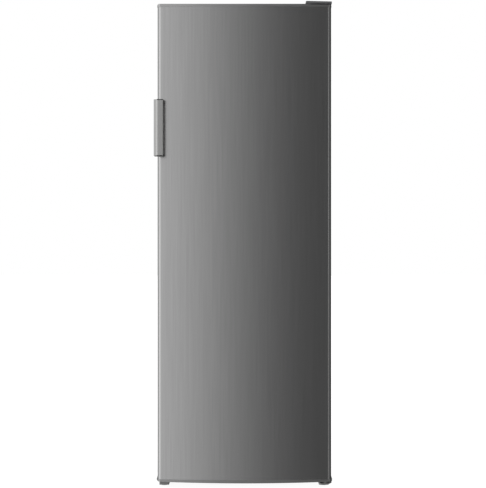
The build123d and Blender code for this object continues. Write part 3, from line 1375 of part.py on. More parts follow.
# Compressor: welded steel shell on its foot plate
compressor_y = (bay_front_y + cabinet_back_y) / 2
grommet_bottom_z = carrier_z + CARRIER_PLATE
foot_plate_z = grommet_bottom_z + GROMMET_HEIGHT
shell_bottom_z = foot_plate_z + COMPRESSOR_FOOT
shell_top_z = shell_bottom_z + COMPRESSOR_HEIGHT
shell_right_x = COMPRESSOR_OFFSET + COMPRESSOR_HALF_LENGTH
seam_z = shell_bottom_z + COMPRESSOR_HEIGHT / 2
grommet_places = [
    (
        COMPRESSOR_OFFSET + side_x * (COMPRESSOR_FOOT_LENGTH / 2 - GROMMET_INSET),
        compressor_y + side_y * (COMPRESSOR_FOOT_DEPTH / 2 - GROMMET_INSET),
    )
    for side_x in (-1, 1)
    for side_y in (-1, 1)
]
with BuildPart() as compressor:
    with BuildSketch(level(shell_bottom_z)):
        with Locations((COMPRESSOR_OFFSET, compressor_y)):
            Ellipse(COMPRESSOR_HALF_LENGTH, COMPRESSOR_HALF_DEPTH)
    extrude(amount=COMPRESSOR_HEIGHT)
    fillet(compressor.edges().group_by(Axis.Z)[-1], COMPRESSOR_RADIUS)
    fillet(compressor.edges().group_by(Axis.Z)[0], COMPRESSOR_RADIUS)
    with BuildSketch(level(seam_z - COMPRESSOR_SEAM_HEIGHT / 2)):
        with Locations((COMPRESSOR_OFFSET, compressor_y)):
            Ellipse(
                COMPRESSOR_HALF_LENGTH + COMPRESSOR_SEAM, COMPRESSOR_HALF_DEPTH + COMPRESSOR_SEAM
            )
    extrude(amount=COMPRESSOR_SEAM_HEIGHT)
    with BuildSketch(level(foot_plate_z)):
        with Locations((COMPRESSOR_OFFSET, compressor_y)):
            RectangleRounded(COMPRESSOR_FOOT_LENGTH, COMPRESSOR_FOOT_DEPTH, GROMMET_RADIUS)
    extrude(amount=COMPRESSOR_FOOT)
compressor.part.label = "compressor"
export_step(compressor.part, "parts/compressor.step")

with BuildPart() as compressor_grommets:
    with BuildSketch(level(grommet_bottom_z)):
        with Locations(grommet_places):
            Circle(GROMMET_RADIUS)
    extrude(amount=GROMMET_HEIGHT)
compressor_grommets.part.label = "compressor_grommets"
export_step(compressor_grommets.part, "parts/compressor_grommets.step")

# Relay box: plastic case at the compressor's left end, with the mains lead's gland at its back
relay_right_x = COMPRESSOR_OFFSET - COMPRESSOR_HALF_LENGTH - COMPRESSOR_SEAM - FIT
relay_z = shell_bottom_z + COMPRESSOR_HEIGHT / 2
relay_back_y = compressor_y + RELAY_DEPTH / 2
gland_x = relay_right_x - RELAY_LENGTH / 2
with BuildPart() as relay_box:
    with Locations((relay_right_x, compressor_y, relay_z)):
        Box(
            RELAY_LENGTH,
            RELAY_DEPTH,
            RELAY_HEIGHT,
            align=(Align.MAX, Align.CENTER, Align.CENTER),
        )
    fillet(relay_box.edges().group_by(Axis.X)[0], HOUSING_WALL)
    with BuildSketch(across(relay_back_y)):
        with Locations((gland_x, relay_z)):
            Circle(GLAND_RADIUS)
    extrude(amount=-GLAND_LENGTH)
    with BuildSketch(across(relay_back_y + GLAND_LENGTH)):
        with Locations((gland_x, relay_z)):
            Circle(GLAND_RADIUS + GLAND_COLLAR)
    extrude(amount=GLAND_COLLAR)
    with BuildSketch(across(relay_back_y + GLAND_LENGTH)):
        with Locations((gland_x, relay_z)):
            Circle(GLAND_BORE)
    extrude(amount=GLAND_LENGTH + RELAY_DEPTH / 2, mode=Mode.SUBTRACT)
relay_box.part.label = "relay_box"
export_step(relay_box.part, "parts/relay_box.step")

# Evaporating tray: shallow dish that sits on the warm compressor under the drain
with BuildPart() as evaporating_tray:
    with BuildSketch(level(shell_top_z)):
        with Locations((COMPRESSOR_OFFSET, compressor_y)):
            RectangleRounded(TRAY_LENGTH, TRAY_DEPTH, GROMMET_RADIUS)
    extrude(amount=TRAY_HEIGHT)
    with BuildSketch(level(shell_top_z + TRAY_WALL)):
        with Locations((COMPRESSOR_OFFSET, compressor_y)):
            RectangleRounded(
                TRAY_LENGTH - 2 * TRAY_WALL, TRAY_DEPTH - 2 * TRAY_WALL, GROMMET_RADIUS - TRAY_WALL
            )
    extrude(amount=TRAY_HEIGHT, mode=Mode.SUBTRACT)
evaporating_tray.part.label = "evaporating_tray"
export_step(evaporating_tray.part, "parts/evaporating_tray.step")

# Drain: gutter behind the crisper cover, and the tube from it down to the tray
gutter_depth = SHELF_REAR_GAP - 2 * FIT
with BuildPart() as drain:
    with Locations((0, cavity_back_y - FIT, hump_top_z)):
        Box(
            TROUGH_WIDTH,
            gutter_depth,
            TROUGH_HEIGHT,
            align=(Align.CENTER, Align.MAX, Align.MIN),
        )
    with Locations((0, cavity_back_y - FIT - DRAIN_WALL, hump_top_z + DRAIN_WALL)):
        Box(
            TROUGH_WIDTH - 2 * DRAIN_WALL,
            gutter_depth - 2 * DRAIN_WALL,
            TROUGH_HEIGHT,
            align=(Align.CENTER, Align.MAX, Align.MIN),
            mode=Mode.SUBTRACT,
        )
    with BuildSketch(level(hump_top_z)):
        with Locations((0, drain_y)):
            Circle(DRAIN_RADIUS)
    extrude(amount=-(hump_top_z - shell_top_z - TRAY_HEIGHT / 2))
    with Locations((0, drain_y, hump_top_z)):
        Cylinder(DRAIN_RADIUS - DRAIN_WALL, 4 * BAY_WALL, mode=Mode.SUBTRACT)
drain.part.label = "drain"
export_step(drain.part, "parts/drain.step")


def coil_path(half_width, first_z, pitch, passes, y):
    """Level passes joined by half turns, the first one running from right to left."""
    with BuildLine(across(y)) as path:
        for i in range(passes):
            side = -1 if i % 2 == 0 else 1
            height = first_z + i * pitch
            Line((-side * half_width, height), (side * half_width, height))
            if i < passes - 1:
                ThreePointArc(
                    (side * half_width, height),
                    (side * (half_width + pitch / 2), height + pitch / 2),
                    (side * half_width, height + pitch),
                )
    return path


# Condenser: long folded tube on the back, with upright wires welded to both its sides
coil_y = cabinet_back_y + CONDENSER_TUBE_SETOFF
coil_half = cabinet_half - CONDENSER_SIDE_GAP
coil_bottom_z = bay_top_z + CONDENSER_RISE
coil_top_z = coil_bottom_z + (CONDENSER_PASSES - 1) * CONDENSER_PITCH
coil = coil_path(coil_half, coil_bottom_z, CONDENSER_PITCH, CONDENSER_PASSES, coil_y)
wire_offset = CONDENSER_TUBE_RADIUS + WIRE_RADIUS + WELD_GAP
wire_pitch = 2 * (coil_half - WIRE_MARGIN) / (WIRE_COUNT - 1)
wire_length = coil_top_z - coil_bottom_z + 2 * WIRE_OVERRUN
with BuildPart() as condenser:
    with BuildSketch(Plane(origin=coil.line @ 0, z_dir=coil.line % 0)):
        Circle(CONDENSER_TUBE_RADIUS)
    sweep(path=coil.line)
    with BuildSketch(level(coil_bottom_z - WIRE_OVERRUN)):
        for face_offset in (-wire_offset, wire_offset):
            with Locations((0, coil_y + face_offset)):
                with GridLocations(wire_pitch, 1, WIRE_COUNT, 1):
                    Circle(WIRE_RADIUS)
    extrude(amount=wire_length)
condenser.part.label = "condenser"
export_step(condenser.part, "parts/condenser.step")

# Condenser clips: four blocks that hold the tube off the back panel and off the room's wall
clip_x = coil_half - WIRE_MARGIN + WIRE_RADIUS + FIT + CLIP_WIDTH / 2
clip_levels = (coil_bottom_z + 2 * CONDENSER_PITCH, coil_top_z - 2 * CONDENSER_PITCH)
with BuildPart() as condenser_clips:
    for side in (-1, 1):
        for height in clip_levels:
            with Locations((side * clip_x, cabinet_back_y, height)):
                Box(
                    CLIP_WIDTH,
                    CONDENSER_REACH,
                    CLIP_HEIGHT,
                    align=(Align.CENTER, Align.MIN, Align.CENTER),
                )
            with Locations(Location((side * clip_x, coil_y, height), (0, 90, 0))):
                Cylinder(CONDENSER_TUBE_RADIUS + FIT, 2 * CLIP_WIDTH, mode=Mode.SUBTRACT)
condenser_clips.part.label = "condenser_clips"
export_step(condenser_clips.part, "parts/condenser_clips.step")

# Filter drier: small upright can at the left of the bay
drier_x = DRIER_INSET - cabinet_half
drier_y = cabinet_back_y - DRIER_SETBACK
drier_top_z = bay_top_z - DRIER_DROP
drier_bottom_z = drier_top_z - DRIER_LENGTH
with BuildPart() as filter_drier:
    with BuildSketch(level(drier_bottom_z)):
        with Locations((drier_x, drier_y)):
            Circle(DRIER_RADIUS)
    extrude(amount=DRIER_LENGTH)
    fillet(filter_drier.edges().filter_by(GeomType.CIRCLE), DRIER_RADIUS / 2)
filter_drier.part.label = "filter_drier"
export_step(filter_drier.part, "parts/filter_drier.step")

# Refrigerant lines, each a tube along straight runs joined by arcs
discharge_z = seam_z - LINE_STEP
suction_z = seam_z + LINE_STEP
line_start_x = shell_right_x + FIT
riser_x = coil_half + LINE_STEP
suction_x = shell_right_x + 2 * LINE_STEP
capillary_x = drier_x + 2 * LINE_STEP
line_routes = (
    (
        LINE_RADIUS,
        (
            (line_start_x, compressor_y, discharge_z),
            (riser_x, compressor_y, discharge_z),
            (riser_x, coil_y, discharge_z),
            (riser_x, coil_y, coil_bottom_z),
            (coil_half, coil_y, coil_bottom_z),
        ),
    ),
    (
        LINE_RADIUS,
        (
            (line_start_x, compressor_y, suction_z),
            (suction_x, compressor_y, suction_z),
            (suction_x, compressor_y, bay_top_z),
        ),
    ),
    (
        LINE_RADIUS,
        (
            (-coil_half, coil_y, coil_top_z),
            (drier_x, coil_y, coil_top_z),
            (drier_x, coil_y, drier_top_z + LINE_STEP),
            (drier_x, drier_y, drier_top_z + LINE_STEP),
            (drier_x, drier_y, drier_top_z),
        ),
    ),
    (
        CAPILLARY_RADIUS,
        (
            (drier_x, drier_y, drier_bottom_z),
            (drier_x, drier_y, drier_bottom_z - LINE_STEP),
            (capillary_x, drier_y, drier_bottom_z - LINE_STEP),
            (capillary_x, drier_y, bay_top_z),
        ),
    ),
)
with BuildPart() as refrigerant_lines:
    for tube_radius, points in line_routes:
        with BuildLine() as route:
            FilletPolyline(*points, radius=LINE_BEND)
        with BuildSketch(Plane(origin=route.line @ 0, z_dir=route.line % 0)):
            Circle(tube_radius)
        sweep(path=route.line)
refrigerant_lines.part.label = "refrigerant_lines"
export_step(refrigerant_lines.part, "parts/refrigerant_lines.step")

# Evaporator: cold plate behind the liner, with its folded tube on the foam side
cold_tube_half = PLATE_WIDTH / 2 - COLD_TUBE_PITCH / 2 - COLD_TUBE_RADIUS - FIT
cold_tube_first_z = (
    plate_top_drop_z - PLATE_HEIGHT / 2 - (COLD_TUBE_PASSES - 1) / 2 * COLD_TUBE_PITCH
)
cold_coil = coil_path(
    cold_tube_half, cold_tube_first_z, COLD_TUBE_PITCH, COLD_TUBE_PASSES, cold_tube_y
)
with BuildPart() as evaporator:
    with Locations((0, cavity_back_y + LINER, plate_top_drop_z)):
        Box(
            PLATE_WIDTH,
            PLATE_WALL,
            PLATE_HEIGHT,
            align=(Align.CENTER, Align.MIN, Align.MAX),
        )
    with BuildSketch(Plane(origin=cold_coil.line @ 0, z_dir=cold_coil.line % 0)):
        Circle(COLD_TUBE_RADIUS)
    sweep(path=cold_coil.line)
evaporator.part.label = "evaporator"
export_step(evaporator.part, "parts/evaporator.step")
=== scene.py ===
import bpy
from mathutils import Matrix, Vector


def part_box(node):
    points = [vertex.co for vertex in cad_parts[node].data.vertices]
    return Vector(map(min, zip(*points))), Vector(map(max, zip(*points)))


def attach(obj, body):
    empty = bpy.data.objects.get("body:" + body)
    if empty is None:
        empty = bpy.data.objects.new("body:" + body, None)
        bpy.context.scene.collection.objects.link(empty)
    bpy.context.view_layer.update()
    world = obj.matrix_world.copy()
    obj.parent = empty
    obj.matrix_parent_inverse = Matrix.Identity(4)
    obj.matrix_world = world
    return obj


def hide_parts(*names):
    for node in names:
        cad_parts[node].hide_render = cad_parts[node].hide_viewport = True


bl_info = {
    "name": "Upright refrigerator",
    "version": (1, 0, 0),
    "blender": (4, 5, 0),
    "location": "3D View > Sidebar > Refrigerator",
    "description": "Builds the shapes, finishes and stage of an upright refrigerator round its frame",
    "category": "Add Mesh",
}

from math import asin, atan2, cos, pi, radians, sin

import bmesh
import bpy
from mathutils import Vector

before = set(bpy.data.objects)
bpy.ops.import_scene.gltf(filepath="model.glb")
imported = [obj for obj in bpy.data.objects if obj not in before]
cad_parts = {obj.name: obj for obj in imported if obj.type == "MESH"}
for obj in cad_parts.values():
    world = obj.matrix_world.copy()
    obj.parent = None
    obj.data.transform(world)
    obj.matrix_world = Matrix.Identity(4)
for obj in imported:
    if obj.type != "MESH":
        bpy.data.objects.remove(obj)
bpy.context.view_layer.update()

MM = 0.001
NEAR = MM / 10  # within this distance of a plane, a place counts as lying on it
ALONG = 0.9  # above this share of an axis, a direction counts as running along it
ACROSS = 0.1  # and below this share as running across it
DOUBLE_GAP = 1e-6
FLAT_ANGLE = radians(0.6)
SMOOTH_ANGLE = radians(35)


# Picking and shaping by hand

def put_down():
    """Leaves edit mode with nothing selected."""
    if bpy.context.mode != "OBJECT":
        bpy.ops.object.mode_set(mode="OBJECT")
    bpy.ops.object.select_all(action="DESELECT")


def take_up(piece):
    """Selects one piece alone and makes it the active one."""
    put_down()
    piece.select_set(True)
    bpy.context.view_layer.objects.active = piece


def work_on(piece):
    """Opens one piece in edit mode."""
    take_up(piece)
    bpy.ops.object.mode_set(mode="EDIT")


def pick(kind, test):
    """Selects the open piece's edges or faces whose place and direction pass the test."""
    bpy.ops.mesh.select_mode(type=kind)
    bpy.ops.mesh.select_all(action="DESELECT")
    mesh = bpy.context.edit_object.data
    shape = bmesh.from_edit_mesh(mesh)
    if kind == "FACE":
        found = [f for f in shape.faces if test(f.calc_center_median(), f.normal)]
    else:
        found = []
        for edge in shape.edges:
            first, last = edge.verts[0].co, edge.verts[1].co
            if test((first + last) / 2, (last - first).normalized()):
                found.append(edge)
    if not found:
        raise RuntimeError(f"{bpy.context.edit_object.name}: nothing there to pick")
    for element in found:
        element.select_set(True)
    bmesh.update_edit_mesh(mesh)


def pick_all():
    """Selects the whole of the open piece."""
    bpy.ops.mesh.select_all(action="SELECT")


def push(x, y, z):
    """Extrudes what is selected by an offset."""
    bpy.ops.mesh.extrude_region_move(TRANSFORM_OT_translate={"value": (x, y, z)})


def round_off(width, steps):
    """Bevels the selected edges."""
    bpy.ops.mesh.bevel(offset=width, segments=steps, affect="EDGES", clamp_overlap=True)


def tidy_up(gap=DOUBLE_GAP):
    """Merges doubles and turns all the faces of the open piece outwards."""
    pick_all()
    bpy.ops.mesh.remove_doubles(threshold=gap)
    bpy.ops.mesh.normals_make_consistent(inside=False)


def settle(piece):
    """Puts the piece's place, turn and scale into its mesh."""
    take_up(piece)
    bpy.ops.object.transform_apply(location=True, rotation=True, scale=True)


def block(name, low, high):
    """A box between two corners, ready to be shaped."""
    low, high = Vector(low), Vector(high)
    put_down()
    bpy.ops.mesh.primitive_cube_add(size=1, location=(low + high) / 2)
    piece = bpy.context.object
    piece.name = name
    piece.scale = high - low
    settle(piece)
    return piece


def drum(name, centre, radius, depth, axis, sides):
    """A round bar about the X or the Y axis, ready to be shaped."""
    put_down()
    turn = {"X": (0, pi / 2, 0), "Y": (pi / 2, 0, 0)}[axis]
    bpy.ops.mesh.primitive_cylinder_add(
        vertices=sides, radius=radius, depth=depth, location=centre, rotation=turn
    )
    piece = bpy.context.object
    piece.name = name
    settle(piece)
    return piece


def draw(name, points, close=True):
    """Draws a line through the points by extruding a corner, and fills it where it is closed."""
    points = [Vector(point) for point in points]
    put_down()
    bpy.ops.mesh.primitive_plane_add(size=MM, location=points[0])
    piece = bpy.context.object
    piece.name = name
    bpy.ops.object.mode_set(mode="EDIT")
    bpy.ops.mesh.select_mode(type="VERT")
    pick_all()
    bpy.ops.mesh.merge(type="CENTER")
    for start, end in zip(points, points[1:]):
        push(*(end - start))
    pick_all()
    if close:
        bpy.ops.mesh.edge_face_add()
    settle(piece)
    return piece


def bar(name, points, offset):
    """A solid whose section is drawn through the points and extruded by the offset."""
    piece = draw(name, points)
    work_on(piece)
    pick_all()
    push(*offset)
    tidy_up()
    put_down()
    return piece


def copy_of(part, name):
    """A copy of a frame node's shape, with its loose triangles merged into plain faces."""
    take_up(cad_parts[part])
    bpy.ops.object.duplicate()
    piece = bpy.context.object
    piece.name = name
    for key in [key for key in piece.keys() if key.startswith("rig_")]:
        del piece[key]
    piece.parent = None
    work_on(piece)
    pick_all()
    bpy.ops.mesh.remove_doubles(threshold=DOUBLE_GAP)
    bpy.ops.mesh.dissolve_limited(angle_limit=FLAT_ANGLE)
    put_down()
    return piece


def shape_with(piece, kind, **settings):
    """Adds one modifier to the piece and applies it."""
    take_up(piece)
    modifier = piece.modifiers.new(kind.title(), kind)
    for key, value in settings.items():
        setattr(modifier, key, value)
    bpy.ops.object.modifier_apply(modifier=modifier.name)


def soften(piece, width, steps=2, angle=35):
    """Rounds every edge of the piece that turns by more than the angle."""
    shape_with(
        piece,
        "BEVEL",
        width=width,
        segments=steps,
        limit_method="ANGLE",
        angle_limit=radians(angle),
        use_clamp_overlap=True,
    )


def cut_away(piece, tool):
    """Takes the tool's shape out of the piece and throws the tool away."""
    shape_with(piece, "BOOLEAN", operation="DIFFERENCE", object=tool, solver="EXACT")
    bpy.data.objects.remove(tool)


def join(pieces, name):
    """Makes one piece of several and names it."""
    put_down()
    for piece in pieces:
        piece.select_set(True)
    bpy.context.view_layer.objects.active = pieces[0]
    bpy.ops.object.join()
    pieces[0].name = name
    return pieces[0]


def again(piece, name, x):
    """A copy of the piece with its own mesh, moved sideways."""
    take_up(piece)
    bpy.ops.object.duplicate()
    other = bpy.context.object
    other.name = name
    bpy.ops.transform.translate(value=(x, 0, 0))
    settle(other)
    return other


def hand_over(piece, body, finish, *nodes, slot=None):
    """Shades the piece, gives it its finish and body, and lets it stand for its nodes."""
    take_up(piece)
    bpy.ops.object.shade_smooth_by_angle(angle=SMOOTH_ANGLE)
    shape_with(piece, "WEIGHTED_NORMAL", mode="FACE_AREA", weight=100, keep_sharp=True)
    piece.data.materials.clear()
    piece.data.materials.append(finishes[finish])
    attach(piece, body)
    if nodes:
        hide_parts(*nodes)
    put_down()
    return piece


def dress(part, body, finish, width, steps=2, name=None, angle=40):
    """Lets a copy of a frame node with rounded edges stand for the node."""
    piece = copy_of(part, name or part + "_piece")
    soften(piece, width, steps, angle)
    return hand_over(piece, body, finish, part)


def paint_faces(piece, finish, test):
    """Gives a second finish to the faces of the piece that pass the test."""
    piece.data.materials.append(finishes[finish])
    number = len(piece.data.materials) - 1
    for face in piece.data.polygons:
        if test(face.center, face.normal):
            face.material_index = number


# Finishes

finishes = {}


def shader_of(material):
    """The finish's own shader."""
    return material.node_tree.nodes["Principled BSDF"]


def fill(made, **values):
    """Sets sockets of a node, with a low line in their names for each space."""
    for socket, value in values.items():
        made.inputs[socket.replace("_", " ")].default_value = value
    return made


def node(holder, kind, settings=None, **values):
    """Adds one node to a finish or to the room."""
    made = holder.node_tree.nodes.new(kind)
    for key, value in (settings or {}).items():
        setattr(made, key, value)
    return fill(made, **values)


def wire(holder, source, target):
    """Links two sockets of a finish or of the room."""
    holder.node_tree.links.new(source, target)


def reckon(holder, operation, *terms):
    """One sum whose terms are numbers or sockets."""
    made = node(holder, "ShaderNodeMath", {"operation": operation})
    for term, place in zip(terms, made.inputs):
        if isinstance(term, float):
            place.default_value = term
        else:
            wire(holder, term, place)
    return made.outputs[0]


def fade(holder, source, low, high, start=0.0, end=1.0):
    """Runs from start to end while the source runs from low to high."""
    reach = node(holder, "ShaderNodeMapRange", From_Min=low, From_Max=high, To_Min=start, To_Max=end)
    wire(holder, source, reach.inputs["Value"])
    return reach.outputs["Result"]


def spread(material, source, start, end):
    """Maps a texture's middle range onto two values."""
    return fade(material, source, 0.25, 0.75, start, end)


def plain(name, colour, roughness, metallic=0.0, **sockets):
    """Starts a finish with its even values on the shader."""
    material = bpy.data.materials.new(name)
    material.use_nodes = True
    even = {"Base_Color": (*colour, 1), "Roughness": roughness, "Metallic": metallic}
    fill(shader_of(material), **even, **sockets)
    finishes[name] = material
    return material


def object_noise(material, stretch, detail=3.0, roughness=0.55):
    """Noise in the object's own space, with its grain stretched."""
    place = node(material, "ShaderNodeTexCoord")
    mapping = node(material, "ShaderNodeMapping", Scale=stretch)
    noise = node(material, "ShaderNodeTexNoise", Scale=1.0, Detail=detail, Roughness=roughness)
    wire(material, place.outputs["Object"], mapping.inputs["Vector"])
    wire(material, mapping.outputs["Vector"], noise.inputs["Vector"])
    return noise.outputs["Fac"]


def object_cells(material, feature, scale):
    """Cells in the object's own space."""
    place = node(material, "ShaderNodeTexCoord")
    cells = node(material, "ShaderNodeTexVoronoi", {"feature": feature}, Scale=scale)
    wire(material, place.outputs["Object"], cells.inputs["Vector"])
    return cells


def tint(material, source, colour, depth):
    """Lets a texture darken and lighten the colour by a share."""
    blend = node(material, "ShaderNodeMix", {"data_type": "RGBA"})
    # For colours this node has its share, its two ends and its result at these places
    share, dark, pale = (blend.inputs[place] for place in (0, 6, 7))
    blended = blend.outputs[2]
    dark.default_value = (*(channel * (1 - depth) for channel in colour), 1)
    pale.default_value = (*(min(channel * (1 + depth), 1) for channel in colour), 1)
    wire(material, spread(material, source, 0, 1), share)
    wire(material, blended, shader_of(material).inputs["Base Color"])


def roughen(material, source, low, high):
    """Lets a texture sway the roughness between two values."""
    wire(material, spread(material, source, low, high), shader_of(material).inputs["Roughness"])


def emboss(material, source, strength, distance):
    """Raises the texture as a fine relief."""
    relief = node(material, "ShaderNodeBump", Strength=strength, Distance=distance)
    wire(material, source, relief.inputs["Height"])
    wire(material, relief.outputs["Normal"], shader_of(material).inputs["Normal"])


def brushed_metal(name, colour, roughness, grain, streak=0.05):
    """Metal with long fine brush marks; the grain gives the marks per metre along each axis."""
    fine_share, broad_share, sway = 0.6, 0.4, 0.004
    material = plain(name, colour, roughness, metallic=1.0)
    fine = object_noise(material, grain, detail=4.0, roughness=0.6)
    across, deep, along = grain
    broad = object_noise(material, (across / 8, deep / 8, along * 2), detail=1.0)
    faint = reckon(material, "MULTIPLY", broad, broad_share)
    marks = reckon(material, "MULTIPLY_ADD", fine, fine_share, faint)
    tint(material, marks, colour, streak)
    roughen(material, marks, roughness - sway, roughness + sway)
    emboss(material, fine, strength=0.15, distance=0.00002)


def moulded(name, colour, roughness, grain, relief=0.00003, depth=0.03, sway=0.03, **sockets):
    """Moulded plastic or rubber with a fine even grain and faint clouds in its colour and gloss."""
    material = plain(name, colour, roughness, **sockets)
    clouds = object_noise(material, (9, 9, 9), detail=2.0)
    fine = object_noise(material, (grain, grain, grain), detail=2.0)
    tint(material, clouds, colour, depth)
    roughen(material, clouds, roughness - sway, roughness + sway)
    emboss(material, fine, strength=0.3, distance=relief)
    return material


def spangled(name, colour, roughness):
    """Bare zinc-coated sheet with large faint crystals."""
    depth, sway = 0.07, 0.07
    material = plain(name, colour, roughness, metallic=0.5)
    grey = node(material, "ShaderNodeSeparateColor")
    wire(material, object_cells(material, "F1", 60.0).outputs["Color"], grey.inputs["Color"])
    tint(material, grey.outputs["Red"], colour, depth)
    roughen(material, grey.outputs["Green"], roughness - sway, roughness + sway)


def let_light_through(material, share):
    """Lets a share of the light that only lights other things pass straight through the finish."""
    path = node(material, "ShaderNodeLightPath")
    passing = reckon(material, "MAXIMUM", path.outputs["Is Shadow Ray"], path.outputs["Is Diffuse Ray"])
    cover = reckon(material, "MULTIPLY_ADD", passing, -share, 1.0)
    wire(material, cover, shader_of(material).inputs["Alpha"])


def make_finishes(colours):
    """Every finish of the refrigerator, named for what it covers."""
    white = tuple(colours.inside)
    black = tuple(colours.black)
    copper = tuple(colours.copper)
    plate_grey = (0.66, 0.67, 0.68)
    foam_yellow = (0.78, 0.66, 0.38)
    glass_green = (0.86, 0.94, 0.91)

    brushed_metal("door_steel", tuple(colours.steel), 0.27, (1400, 1400, 2.0), streak=0.085)
    brushed_metal("handle_metal", tuple(colours.handle), 0.26, (1600, 1600, 14))
    brushed_metal("plated_steel", (0.55, 0.55, 0.54), 0.32, (300, 300, 300), streak=0.06)
    moulded("cap_silver", tuple(colours.trim), 0.33, grain=1800, depth=0.04, metallic=1.0)
    moulded("cap_grey", tuple(colours.foot_trim), 0.36, grain=1800, depth=0.04, metallic=0.95)
    moulded("cover_grey", tuple(colours.cover), 0.5, grain=1600, relief=0.00005)
    moulded("wall_paint", tuple(colours.paint), 0.46, grain=620, relief=0.00012, metallic=0.25)
    moulded("inner_white", white, 0.27, grain=260, relief=0.00002, depth=0.008, sway=0.012)
    moulded("moulded_white", white, 0.33, grain=900, relief=0.00002, depth=0.012, sway=0.015)
    # Light grey for the grip's inner faces: painted light, lighter than the grip's metal so the shade
    # in the gap behind the grip and its reflection in the door come out lighter
    moulded("grip_inside_painted_light", (0.78, 0.78, 0.77), 0.4, grain=1100, relief=0.00004)
    moulded("knob_grey", (0.60, 0.61, 0.62), 0.38, grain=900)
    moulded("seal_grey", (0.42, 0.42, 0.41), 0.62, grain=700, relief=0.00006)
    moulded("black_plastic", black, 0.45, grain=900, relief=0.00004, depth=0.12)
    moulded("black_rubber", (0.018, 0.018, 0.018), 0.72, grain=500, relief=0.00010, depth=0.2)
    moulded("black_enamel", black, 0.27, grain=420, relief=0.00006, depth=0.1, Coat_Weight=0.4)
    moulded("tray_grey", (0.36, 0.37, 0.37), 0.5, grain=700, relief=0.00005, depth=0.05)
    moulded("printed_marks", (0.16, 0.17, 0.19), 0.4, grain=900, relief=0.00001, depth=0.05)
    spangled("back_sheet", (0.50, 0.51, 0.52), 0.42)
    spangled("zinc", (0.42, 0.43, 0.45), 0.38)

    tube = plain("copper_tube", copper, 0.3, metallic=1.0)
    stains = object_noise(tube, (45, 45, 45), detail=5.0)
    tint(tube, stains, copper, 0.22)
    roughen(tube, stains, 0.22, 0.45)

    plate = plain("cold_plate", plate_grey, 0.35, metallic=1.0)
    rolled = object_noise(plate, (500, 500, 6))
    tint(plate, rolled, plate_grey, 0.05)
    roughen(plate, rolled, 0.28, 0.42)

    foam = plain("wall_foam", foam_yellow, 0.85)
    bubbles = object_cells(foam, "SMOOTH_F1", 420.0).outputs["Distance"]
    tint(foam, bubbles, foam_yellow, 0.15)
    emboss(foam, bubbles, strength=0.6, distance=0.0006)

    rack = moulded(
        "clear_plastic", tuple(colours.clear), 0.10, grain=300, relief=0.00002, depth=0.008,
        sway=0.015, Transmission_Weight=0.9, IOR=1.49,
    )
    let_light_through(rack, 0.8)

    glass = plain("shelf_glass", glass_green, 0.03, Transmission_Weight=1.0, IOR=1.5)
    smears = object_noise(glass, (14, 14, 14), detail=4.0)
    tint(glass, smears, glass_green, 0.01)
    roughen(glass, smears, 0.02, 0.05)
    let_light_through(glass, 0.85)

    frosted = moulded(
        "frosted_plastic", (0.93, 0.93, 0.90), 0.45, grain=1200, relief=0.0001, depth=0.01,
        Transmission_Weight=0.65,
    )
    let_light_through(frosted, 0.5)


# Sizes and colours

skin_low, skin_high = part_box("door_skin")


def size_property(name, description, default, low, high):
    """One length that can be changed, with its default and its limits in millimetres."""
    return bpy.props.FloatProperty(
        name=name, description=description, unit="LENGTH",
        default=default * MM, min=low * MM, max=high * MM,
    )


class RefrigeratorSizes(bpy.types.PropertyGroup):
    """Sizes that can be changed without touching the frame."""

    bow: size_property(
        "Door bow", "How far the middle of the door's face stands out past its edges", 17, 2, 30
    )
    corner: size_property(
        "Door corner radius", "Radius between the door's face and its sides", 14, 3, 20
    )
    sheet: size_property("Sheet", "Thickness of the door's steel sheet", 1, 0.5, 2)
    edge: size_property("Moulded edge", "Rounding on the edges of moulded pieces", 0.8, 0.1, 2)
    liner_round: size_property(
        "Liner radius", "Rounding in the corners of the cold space", 2.2, 0.5, 5
    )
    rim: size_property("Rim", "How far the rim of a door rack stands out", 1.5, 0.5, 3)
    rib_rise: size_property("Back panel rib", "Height of the pressed ribs on the back panel", 2, 0.5, 4)


def colour_property(name, description, default):
    """One colour that can be changed."""
    return bpy.props.FloatVectorProperty(
        name=name, description=description, default=default, min=0, max=1, size=3, subtype="COLOR"
    )


class RefrigeratorColours(bpy.types.PropertyGroup):
    """Colours of the refrigerator's finishes."""

    steel: colour_property("Door steel", "Brushed sheet of the door", (0.56, 0.56, 0.56))
    handle: colour_property("Handle", "Brushed metal of the handle", (0.75, 0.75, 0.745))
    trim: colour_property("Upper door cap", "Moulding above the door", (0.54, 0.54, 0.54))
    foot_trim: colour_property(
        "Lower door cap", "Moulding below the door, and the foot blocks", (0.42, 0.42, 0.42)
    )
    # This dark grey is the hinge cover's own colour; on the upper hinge plate it is also used as
    # painted shade
    cover: colour_property("Hinge cover", "Dark moulding over the upper hinge", (0.12, 0.12, 0.125))
    paint: colour_property(
        "Cabinet paint", "Fine-textured paint of the cabinet's sides and roof", (0.36, 0.37, 0.38)
    )
    inside: colour_property("Inside", "White of the liner and the inner mouldings", (0.86, 0.87, 0.87))
    clear: colour_property("Clear plastic", "Racks and drawers", (0.95, 0.97, 0.98))
    black: colour_property("Black parts", "Enamel and plastic in the machine bay", (0.02, 0.02, 0.021))
    copper: colour_property("Copper", "Tubes of the cooling circuit", (0.72, 0.36, 0.22))


# The door's outline in plan

BOW_STEPS = 72
CORNER_STEPS = 10


def arc(x, y, z, radius, start, sweep, steps):
    """Points along an arc in plan."""
    turns = [start + sweep * i / steps for i in range(steps + 1)]
    return [(x + radius * cos(turn), y + radius * sin(turn), z) for turn in turns]


